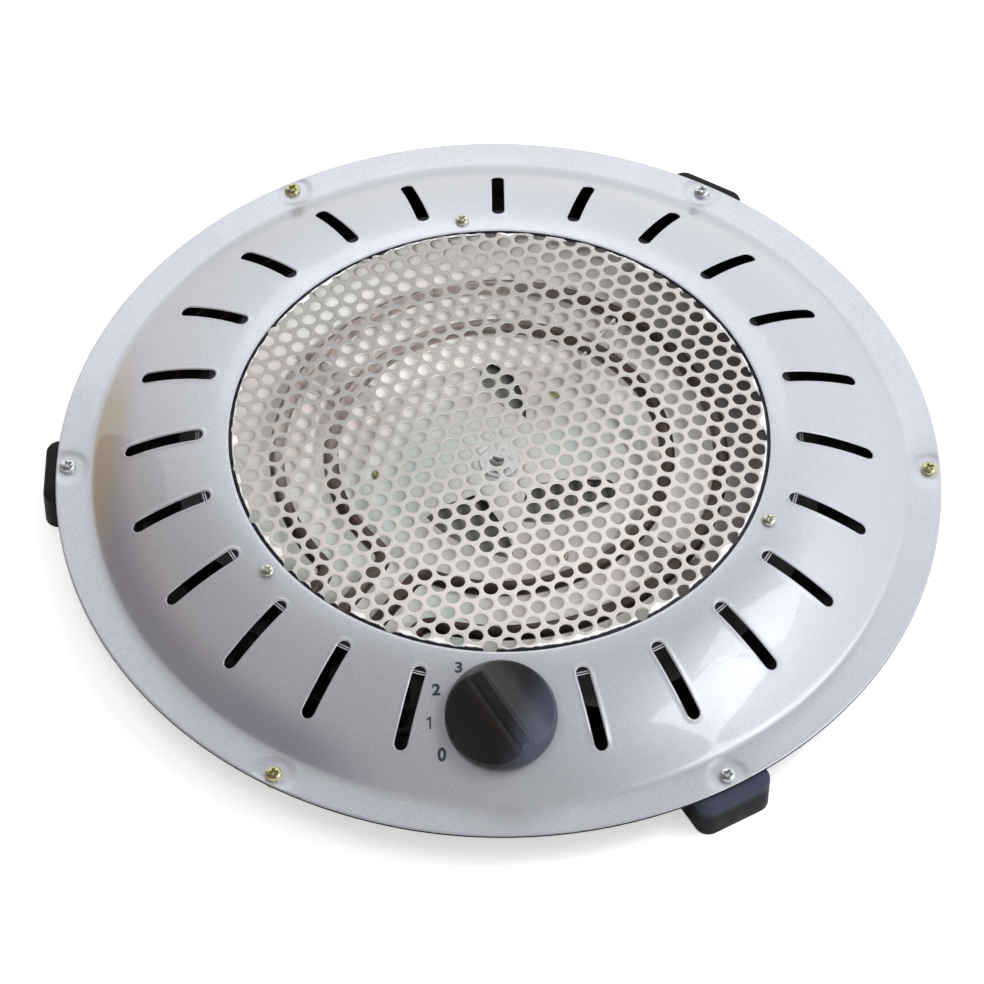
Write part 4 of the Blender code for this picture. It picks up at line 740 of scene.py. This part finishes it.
def one_mesh():
    """The figure one: an upright stroke and a slanting flag at its left, as shares of the figures' size."""
    stroke = [(-0.02, -0.365), (0.09, -0.365), (0.09, 0.365), (-0.02, 0.365)]
    flag = [(-0.17, 0.12), (-0.02, 0.21), (-0.02, 0.365), (-0.17, 0.235)]
    corners = [(x * FIGURE * MM, y * FIGURE * MM, 0.0) for x, y in stroke + flag]
    mesh = bpy.data.meshes.new("numeral_1")
    mesh.from_pydata(corners, [], [(0, 1, 2, 3), (4, 5, 6, 7)])
    return mesh


def make_numerals():
    """Printed numerals laid on the dome left of the knob."""
    axis = knob_matrix()
    for text, out, angle in NUMERALS:
        mesh = one_mesh() if text == "1" else figure_mesh(text)
        points = np.zeros(len(mesh.vertices) * 3)
        mesh.vertices.foreach_get("co", points)
        points = points.reshape(-1, 3) / MM
        way = math.radians(angle)
        middle = axis @ Vector((out * math.cos(way), out * math.sin(way), 0.0))
        x, y = middle.x + points[:, 0], middle.y + points[:, 1] * math.cos(math.radians(22))
        z = cover_height(np.hypot(x, y)) + 0.07
        mesh.vertices.foreach_set("co", (np.stack([x, y, z], -1) * MM).ravel())
        mesh.update()
        made = linked("numeral_" + text, mesh)
        made.data.materials.clear()
        made.data.materials.append(INK)
        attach(made, "heater")


# Screws and nuts

SMALL_RISE = 1.8


def screw_surface(head, rise, shank, length, turn):
    """Pan-head screw: a domed head whose top is sunk along a cross, over a shank."""
    side, arm, wide, sunk = 0.42 * rise, 0.56 * head, 0.15 * head, 0.55 * rise
    ways = np.arange(48) * 2 * np.pi / 48
    share = np.array([0, 0.08, 0.16, 0.24, 0.32, 0.4, 0.48, 0.56, 0.66, 0.78, 0.88, 0.95, 0.99, 1])[:, None]
    x, y = head * share * np.cos(ways), head * share * np.sin(ways)
    z = side + (rise - side) * np.sqrt(np.clip(1 - share ** 2.6, 0, 1)) + 0 * ways
    u = x * math.cos(turn) + y * math.sin(turn)
    v = y * math.cos(turn) - x * math.sin(turn)
    cross = np.zeros_like(u)
    for a, b in ((np.abs(u), np.abs(v)), (np.abs(v), np.abs(u))):
        cross = np.maximum(cross, smooth_step((arm - a) / 0.35) * smooth_step((wide - b) / 0.30 + 0.5))
    surface = Surface()
    surface.grid(np.stack([x, y, z - cross * sunk], -1), wrap=True)
    surface.spun([(head, side), (head, 0.0), (shank, 0.0), (shank, 0.4 - length), (shank - 0.4, -length),
                  (0.0, -length)], 48)
    return surface


def make_rim_screws():
    """Screws in the dimples of the rim, the white ones at the feet, each turned its own way."""
    seat = FLANGE_TOP - 0.2
    for i, turn in enumerate(RIM_SCREWS):
        finish, slot = ((YELLOW_ZINC, "yellow_zinc"), (WHITE_ZINC, "white_zinc"))[i % 2]
        low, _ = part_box(f"rim_screw_{i + 1}")
        surface = screw_surface(3.5, 2.5, 1.9, seat - low.z / MM, 0.4 + 1.1 * i)
        place = (SCREW_CIRCLE * math.cos(turn), SCREW_CIRCLE * math.sin(turn), seat)
        moved(surface, Matrix.Translation(place))
        piece(f"rim_screw_head_{i + 1}", surface, finish, f"rim_screw_{i + 1}", 40)


def make_small_screw(name, node, head, turn, finish):
    """A small screw where its solid stands, with its head's top at the same height."""
    low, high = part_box(node)
    middle = (low + high) / 2 / MM
    seat = high.z / MM - SMALL_RISE
    surface = screw_surface(head, SMALL_RISE, 1.4, seat - low.z / MM, turn)
    moved(surface, Matrix.Translation((middle.x, middle.y, seat)))
    piece(name, surface, finish, node, 40)


def make_screws():
    """Screws of the rim and the grille."""
    make_rim_screws()
    for i in range(3):
        node = f"grille_screw_{i + 1}"
        make_small_screw(f"grille_screw_head_{i + 1}", node, 3.0, 0.9 + 1.3 * i, PALE_ZINC)


def nut_surface(corner, height, bore):
    """Hexagon nut below height zero round a bore, its corners cut by a cone above and below."""
    ways = np.arange(72) * 2 * np.pi / 72
    flat, soft = corner * math.cos(np.pi / 6), 0.25
    cone = flat * 0.96
    reach = flat / np.cos(ways % (np.pi / 3) - np.pi / 6)
    fall = np.maximum(reach - cone, 0) * 0.5
    rows = [(bore, -height), (bore, -soft), (bore + soft, 0), (cone, 0), (reach, -fall),
            (reach, fall - height), (cone, -height), (bore, -height)]
    surface = Surface()
    surface.grid(np.stack([polar(r, ways, z) for r, z in rows]), wrap=True)
    return surface


def make_nuts():
    """Nuts under the rim, under the grille's flange and on the middle bolt."""
    kinds = [(f"rim_nut_{i + 1}", 3.9, 3.2, 2.2, YELLOW_ZINC, "yellow_zinc") for i in range(3)]
    kinds += [(f"grille_nut_{i + 1}", 3.1, 2.4, 1.7, WHITE_ZINC, "white_zinc") for i in range(3)]
    kinds.append(("centre_nut", 4.6, 3.2, 2.7, WHITE_ZINC, "white_zinc"))
    for name, corner, height, bore, finish, kind in kinds:
        low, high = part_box(name)
        middle = (low + high) / 2 / MM
        surface = nut_surface(corner, height, bore)
        turn = math.atan2(middle.y, middle.x)
        place = Matrix.Translation((middle.x, middle.y, high.z / MM))
        moved(surface, place @ Matrix.Rotation(turn, 4, "Z"))
        piece(name + "_hexagon", surface, finish, name, 30)


def make_centre():
    """Bolt and washer in the middle of the reflector, and the round screw heads on its seat."""
    bolt = Surface()
    bolt.spun([(0, 30.3), (2, 30.3), (2.4, 29.9), (2.4, 6.3), (4.6, 6.3), (4.8, 6), (4.6, 4.6), (4.2, 4.3),
               (0, 4.3)], 32)
    piece("middle_bolt", bolt, WHITE_ZINC, "centre_bolt", 30)
    washer = Surface()
    washer.spun([(2.7, 24.3), (2.7, 25.15), (2.85, 25.3), (8.3, 25.3), (8.5, 25.1), (8.5, 24.3),
                 (2.7, 24.3)], 64)
    piece("middle_washer", washer, WHITE_ZINC, "centre_washer", 30)
    for i in range(3):
        name = f"reflector_screw_{i + 1}"
        make_small_screw(name + "_head", name, 2.6, 0.5 + 1.7 * i, YELLOW_ZINC)


# Elements, reflector, pan and feet

ELEMENT_Z, TUBE = 30.0, 3.25
ELEMENT_TURN = math.radians(236)
TROUGH_EDGE, TROUGH_HEIGHT, DISH_RIM, DISH_RISE = 103.45, 13.0, 137.7, 15.0
DISH_CUT, DISH_CUT_TURN = 100.0, math.radians(244)
WALL_FOOT, WALL_OUT, WALL_FOOT_HEIGHT, WALL_UP, WALL_LENGTH = 167.3, 3.5, 6.3, 12.5, 13.0
INLET_RADIUS, INLET_HEIGHT, INLET_HOLE = 169.0, 12.4, 4.7
FOOT_HEIGHT = 18.7


def arc_points(x, y, radius, first, last, steps):
    """Points of an arc, both ends included."""
    ways = np.linspace(first, last, steps + 1)
    return (x, y) + polar(radius, ways)


def element_surface(radius, spread):
    """Round tube along a ring whose two ends bend outwards side by side, with a thin pin at each end."""
    bend, end = 8.0, 119.0
    reach = math.sqrt((radius + bend) ** 2 - (spread + bend) ** 2)
    gap = math.asin((spread + bend) / (radius + bend))
    corner = arc_points(reach, spread + bend, bend, -np.pi / 2, gap - np.pi, 10)
    ring = arc_points(0, 0, radius, gap, 2 * np.pi - gap, 200)[1:-1]
    lead = [(end + out, spread) for out in (8, 8, 0.6, 0.5, 0, -0.4)]
    size = [0, 1.5, 1.5, 1.5, TUBE - 0.4, TUBE]
    half = np.concatenate([np.array(lead), np.linspace((end - 6, spread), (reach + 1, spread), 4), corner])
    path = np.concatenate([half, ring, half[::-1] * (1, -1)])
    sizes = np.full(len(path), TUBE)
    sizes[:len(size)] = size
    sizes[-len(size):] = size[::-1]
    way = np.gradient(path, axis=0)
    way[:5], way[-5:] = (-1, 0), (1, 0)
    way /= np.hypot(*way.T)[:, None]
    side = np.stack([-way[:, 1], way[:, 0]], -1)
    turns = np.arange(20) * np.pi / 10
    out, up = np.moveaxis(polar(sizes[:, None], turns), -1, 0)
    flat = path[:, None] + out[..., None] * side[:, None]
    tube = Surface()
    tube.grid(np.dstack([flat, ELEMENT_Z + up]), wrap=True)
    return moved(tube, Matrix.Rotation(ELEMENT_TURN, 4, "Z"))


def make_elements():
    """Both ring elements."""
    for name, radius, spread in (("inner_element", 72.0, 8.0), ("outer_element", 95.0, 24.0)):
        piece(name + "_tube", element_surface(radius, spread), SHEATH, name, 45)


def reflector_height(r):
    """Hub, slope, seat, trough and flared wall, every bend rounded by averaging over a few millimetres."""
    stops = [0, 11, 46.5, 57.5, 63.55, TROUGH_EDGE]
    heights = [24, 24, 16, 16, TROUGH_HEIGHT, TROUGH_HEIGHT]
    total, shifts = 0, np.linspace(-1.6, 1.6, 9)
    for shift in shifts:
        share = np.clip((r + shift - TROUGH_EDGE) / (DISH_RIM - TROUGH_EDGE), 0, 1.05)
        total = total + np.interp(r + shift, stops, heights) + DISH_RISE * share ** 1.47
    return total / len(shifts)


# Each leaf opening: a radius, and the turns in degrees where the leaf starts and ends there.
LEAVES = (
    ((31.2, 67.5, 67.5), (36.4, 71, 87), (43.7, 75, 94.5), (51, 80, 98), (58.2, 85, 98),
     (63.4, 90, 96.5), (66.6, 94, 94)),
    ((17.2, 246, 246), (19.8, 234, 255), (26, 223.5, 267), (32.2, 219, 275), (39.5, 218, 277.5),
     (41.6, 252, 277.5), (45.8, 277.5, 277.5)),
    ((17.4, 318, 318), (19.8, 303, 332), (24.4, 293, 343.5), (30.2, 290, 351.5), (34.3, 306, 353.5),
     (40.6, 326, 355.5), (47.8, 339, 357), (52, 345, 352.5), (54.3, 347.5, 347.5)),
)


def leaf_edges(leaf, r):
    """Turns of a leaf's two edges at some radii. Outside the leaf both give the turn of its nearer tip."""
    out, first, last = np.array(leaf).T
    return np.radians(np.interp(r, out, first)), np.radians(np.interp(r, out, last))


def make_reflector():
    """Polished dish in three fans between its leaf openings, cut off straight at one side."""
    columns = np.arange(81)[None, :] / 80
    tips = [leaf[k][0] for leaf in LEAVES for k in range(len(leaf))]
    outer = [68, 71, 76, 82, 88, 94, 99, 101.5, 103.5, 105.5, 108, 111, 115, 119, 123, 127, 131, 134, 136.5]
    rows = np.concatenate([[2.7, 4, 7, 10, 12.5, 15], np.arange(18, 67, 1.0), tips, outer, [DISH_RIM]])
    rows = np.unique(np.round(rows, 1))
    dish = Surface()
    for k in range(3):
        first = leaf_edges(LEAVES[k], rows)[1][:, None]
        last = leaf_edges(LEAVES[(k + 1) % 3], rows)[0][:, None] + (2 * np.pi if k == 2 else 0)
        way = first + columns * (last - first)
        away = np.cos(way - DISH_CUT_TURN)
        r = np.minimum(rows[:, None], np.where(away > 0.3, DISH_CUT / np.maximum(away, 0.3), 1e3))
        dish.grid(polar(r, way, reflector_height(r)))
    made = walled("reflector_dish", dish, 0.5)
    finished(made, REFLECTOR, "heater", ["reflector"], 50)


def make_pan():
    """Black dish turned from its section, both faces, with a round hole in its wall for the grommet."""
    steps, middle, half, rows = 240, 60, 4, 8

    def wall(way, share, outside):
        """A point of the sloping wall: its turn, how far up it is, and 1 on the outer face."""
        r = WALL_FOOT + WALL_OUT * share + SHEET * outside
        z = WALL_FOOT_HEIGHT + WALL_UP * share - 0.5 * outside
        return polar(r, way, z)

    skin = Surface()
    skin.spun([(2.7, 7.2), (60, 7.2), (65, 7.2), (66.4, 7.05), (69.6, 5.35), (71, 5.2), (120, 5.2),
               (164, 5.2), (166, 5.3), (166.9, 5.7), (167.3, 6.3)], steps)
    skin.spun([(170.8, 18.8), (171.2, 19.35), (172.0, 19.6), (185, 19.6), (189.8, 19.6), (RIM, 19.4),
               (RIM, 19.15), (189.8, 19.0), (172.2, 19.0), (171.7, 18.8), (171.4, 18.3)], steps)
    skin.spun([(167.9, 5.8), (167.4, 5.0), (166.4, 4.65), (165, 4.6), (120, 4.6), (70.4, 4.6), (69.2, 4.75),
               (66.0, 6.45), (64.6, 6.6), (2.7, 6.6), (2.7, 7.2)], steps)
    ways = np.arange(steps) * 2 * np.pi / steps
    rest = ways[np.arange(middle + half, middle - half + steps + 1) % steps]
    near = ways[middle - half:middle + half + 1]
    share = np.linspace(0, 1, rows + 1)
    u = np.concatenate([near[:-1], np.full(rows, near[-1]), near[:0:-1], np.full(rows, near[0])])
    v = np.concatenate([np.zeros(2 * half), share[:-1], np.ones(2 * half), share[:0:-1]])
    spin = np.arctan2((v - 0.5) * WALL_LENGTH, (u - ways[middle]) * INLET_RADIUS)
    hole_u = ways[middle] + INLET_HOLE * np.cos(spin) / INLET_RADIUS
    hole_v = 0.5 + INLET_HOLE * np.sin(spin) / WALL_LENGTH
    mix = np.array([0, 0.3, 0.65, 1.0])[:, None]
    for outside in (0, 1):
        skin.grid(wall(rest[None, :], share[:, None], outside))
        skin.grid(wall(hole_u + mix * (u - hole_u), hole_v + mix * (v - hole_v), outside), wrap=True)
    skin.grid(np.stack([wall(hole_u, hole_v, 0), wall(hole_u, hole_v, 1)]), wrap=True)
    piece("pan_dish", skin, ENAMEL, "base_pan", 35)


def make_grommet():
    """Rubber grommet in the pan's wall, its bore closed by a thin web."""
    grommet = Surface()
    grommet.spun([(0, 0), (3.3, 0), (3.3, 1.9), (3.6, 2.2), (5.4, 2.2), (5.8, 1.8), (5.8, 0.6), (4.4, 0.6),
                  (4.4, -1.2), (5.8, -1.2), (5.8, -2.4), (5.4, -2.8), (3.6, -2.8), (3.3, -2.5), (3.3, -0.6),
                  (0, -0.6)], 48)
    lean = math.pi / 2 + math.atan2(4.0, 14.4)
    place = Matrix.Translation((INLET_RADIUS, 0.0, INLET_HEIGHT)) @ Matrix.Rotation(lean, 4, "Y")
    moved(grommet, Matrix.Rotation(np.pi / 2, 4, "Z") @ place)
    piece("inlet_grommet", grommet, RUBBER, "cord_grommet", 35)


def foot_outline():
    """Half of a foot's outline, from the middle of its front round to the middle of its back."""
    front, back, half, round_front, round_back = 10.2, -11.0, 17.0, 6, 2

    def line(first, last, steps):
        """Points between two ends, neither included."""
        return np.linspace(first, last, steps + 1)[1:-1]

    return np.concatenate([
        [(front, 0.0)],
        line((front, 0), (front, half - round_front), 5),
        arc_points(front - round_front, half - round_front, round_front, 0, np.pi / 2, 10),
        line((front - round_front, half), (back + round_back, half), 7),
        arc_points(back + round_back, half - round_back, round_back, np.pi / 2, np.pi, 5),
        line((back, half - round_back), (back, 0), 6),
        [(back, 0.0)],
    ])


def foot_surface():
    """Moulded foot: its outline carried up with soft edges to a flat top, over two pockets."""
    half = foot_outline()
    ring = np.concatenate([half, (half * (1, -1))[-2:0:-1]])
    way = np.roll(ring, -1, axis=0) - np.roll(ring, 1, axis=0)
    way /= np.hypot(*way.T)[:, None]
    inward = np.stack([-way[:, 1], way[:, 0]], -1)
    rows = [(0, 0.4), (0.12, 0.12), (0.4, 0), (8, 0), (16.4, 0), (17.2, 0.13), (17.9, 0.48), (18.4, 1),
            (FOOT_HEIGHT, 1.7)]
    sides = [np.column_stack([ring + inset * inward, np.full(len(ring), z)]) for z, inset in rows]
    top = sides[-1]
    centre = np.array([-0.4, 0.0, FOOT_HEIGHT])
    sides += [centre + (top - centre) * share for share in (0.6, 0.25, 0.0)]
    foot = Surface()
    foot.grid(np.stack(sides), wrap=True)
    sole = sides[0][:, :2]
    count = len(half)
    for side in (1, -1):
        edge = sole[:count] if side > 0 else np.concatenate([sole[:1], sole[:count - 2:-1]])
        middle = np.linspace(edge[-1], edge[0], 13)[1:-1]
        edge = np.concatenate([edge, middle])
        pocket = np.array([-1.9, 10.0 * side])
        to = edge - pocket
        ahead, aside = np.maximum(np.abs(to.T), 1e-6)
        reach = np.minimum(7.1 / ahead, 5.0 / aside)
        mouth = pocket + to * reach[:, None]
        roof = [pocket + (mouth - pocket) * share for share in (0.5, 0.0)]
        flat = [edge, edge + 0.5 * (mouth - edge), mouth, mouth, mouth, mouth, *roof]
        heights = (0, 0, 0, 4, 8, 12, 12, 12)
        rings = [np.column_stack([p, np.full(len(p), z)]) for p, z in zip(flat, heights)]
        foot.grid(np.stack(rings), wrap=True)
    return foot


def make_feet():
    """Three moulded feet under the flange."""
    for i, turn in enumerate((60, 180, 300), 1):
        place = Matrix.Rotation(math.radians(turn), 4, "Z") @ Matrix.Translation((SCREW_CIRCLE, 0.0, 0.0))
        foot = moved(foot_surface(), place)
        piece(f"moulded_foot_{i}", foot, FOOT_BLACK, f"foot_{i}", 35)


# Stage


def make_card(name, corners, low, high):
    """A flat card of the stage from its four corners, in two near tones. Gives its finish and the card."""
    card = bpy.data.meshes.new(name)
    card.from_pydata(corners, [], [(0, 1, 2, 3)])
    f = Finish(name, roughness=0.9, specular_ior_level=0.1)
    f.set("Base Color", f.mix(f.noise(3.0), low, high))
    card.materials.append(f.material)
    holder = linked(name, card)
    return f, holder


def make_floor():
    """Pale floor, lightened where the camera sees it and clear from below."""
    corners = [(-4, -4, 0), (4, -4, 0), (4, 4, 0), (-4, 4, 0)]
    floor, _ = make_card("floor", corners, (0.93, 0.93, 0.93), (0.95, 0.95, 0.95))
    seen = floor.add("ShaderNodeLightPath", out="Is Camera Ray")
    floor.set("Emission Color", floor.mix(seen, (0.0, 0.0, 0.0), (0.52, 0.52, 0.52)))
    floor.set("Emission Strength", 1.0)
    floor.set("Alpha", 1.0 - floor.add("ShaderNodeNewGeometry", out="Backfacing"))


def make_surroundings():
    """White surroundings, and dark cards over and left of the heater for its paint to reflect."""
    corners = [(-2.6, -3, 1.95), (-2.6, 1.45, 1.95), (1.6, 1.05, 1.95), (1.6, -3, 1.95)]
    _, ceiling = make_card("ceiling", corners, (0.15, 0.15, 0.16), (0.20, 0.20, 0.21))
    corners = [(-1.5, -2, 0.0), (-1.5, 1.3, 0.0), (-1.5, 1.3, 1.4), (-1.5, -2, 1.4)]
    _, wall = make_card("left_wall", corners, (0.24, 0.16, 0.10), (0.33, 0.235, 0.155))
    ceiling.visible_camera = wall.visible_camera = False
    world = bpy.data.worlds.new("surroundings")
    bpy.context.scene.world = world
    world.use_nodes = True
    background = world.node_tree.nodes["Background"]
    background.inputs["Color"].default_value = (0.97, 0.98, 1.0, 1.0)
    background.inputs["Strength"].default_value = 1.0


def aimed_lamp(light, place, target):
    """A lamp that stands at a place, turned towards a target."""
    holder = linked(light.name, light)
    holder.location = place
    holder.rotation_euler = (Vector(target) - Vector(place)).to_track_quat("-Z", "Y").to_euler()
    holder.visible_camera = False
    return holder


def soft_lamp(name, place, width, height, power):
    """A soft lamp turned towards the middle of the stage."""
    light = bpy.data.lights.new(name, "AREA")
    light.shape, light.size, light.size_y = "RECTANGLE", width, height
    light.energy = power
    return aimed_lamp(light, place, (0.0, 0.0, 0.0))


def make_lamps():
    """Two window panes and a lamp behind, which the paint reflects, and three lamps without reflections."""
    soft_lamp("back", (0.1, 1.55, 1.4), 1.3, 0.6, 2.5)
    soft_lamp("window_left_pane", (0.92, 0.15, 1.25), 0.40, 0.50, 1.6)
    soft_lamp("window_right_pane", (0.88, -0.33, 1.22), 0.5, 0.42, 2.2)
    fill = soft_lamp("fill", (-0.3, -0.2, 1.9), 1.8, 1.8, 17.0)
    side = soft_lamp("side", (1.2, 0.1, 1.6), 0.6, 0.6, 10.0)
    light = bpy.data.lights.new("grille_beam", "SPOT")
    light.energy, light.shadow_soft_size = 105.0, 0.06
    light.spot_size, light.spot_blend = math.radians(6.5), 0.40
    beam = aimed_lamp(light, (0.30, -0.80, 1.15), (-0.018, 0.027, 0.030))
    fill.visible_glossy = side.visible_glossy = beam.visible_glossy = False


def make_camera():
    """The photo's viewpoint: high in front, turned a little, with the picture's middle shifted."""
    camera = bpy.data.cameras.new("camera")
    camera.lens, camera.sensor_width = 164.45, 36.0
    camera.shift_x, camera.shift_y = -0.0071, -0.0240
    holder = linked("camera", camera)
    height, yaw, roll, distance = 51.30, -1.043, 0.991, 1.931
    turn = Matrix.Rotation(math.radians(yaw), 4, "Z") @ Matrix.Rotation(math.radians(90 - height), 4, "X")
    turn = turn @ Matrix.Rotation(math.radians(roll), 4, "Z")
    place = turn @ Vector((0.0, 0.0, distance)) + Vector((0.0, 0.0, FLANGE_TOP * MM))
    holder.matrix_world = Matrix.Translation(place) @ turn
    bpy.context.scene.camera = holder
    bpy.context.scene.view_settings.view_transform = "Standard"


dress_nodes()
make_floor()
make_surroundings()
make_lamps()
make_camera()
make_cover()
make_grille()
make_knob()
make_numerals()
make_screws()
make_nuts()
make_centre()
make_elements()
make_reflector()
make_pan()
make_grommet()
make_feet()
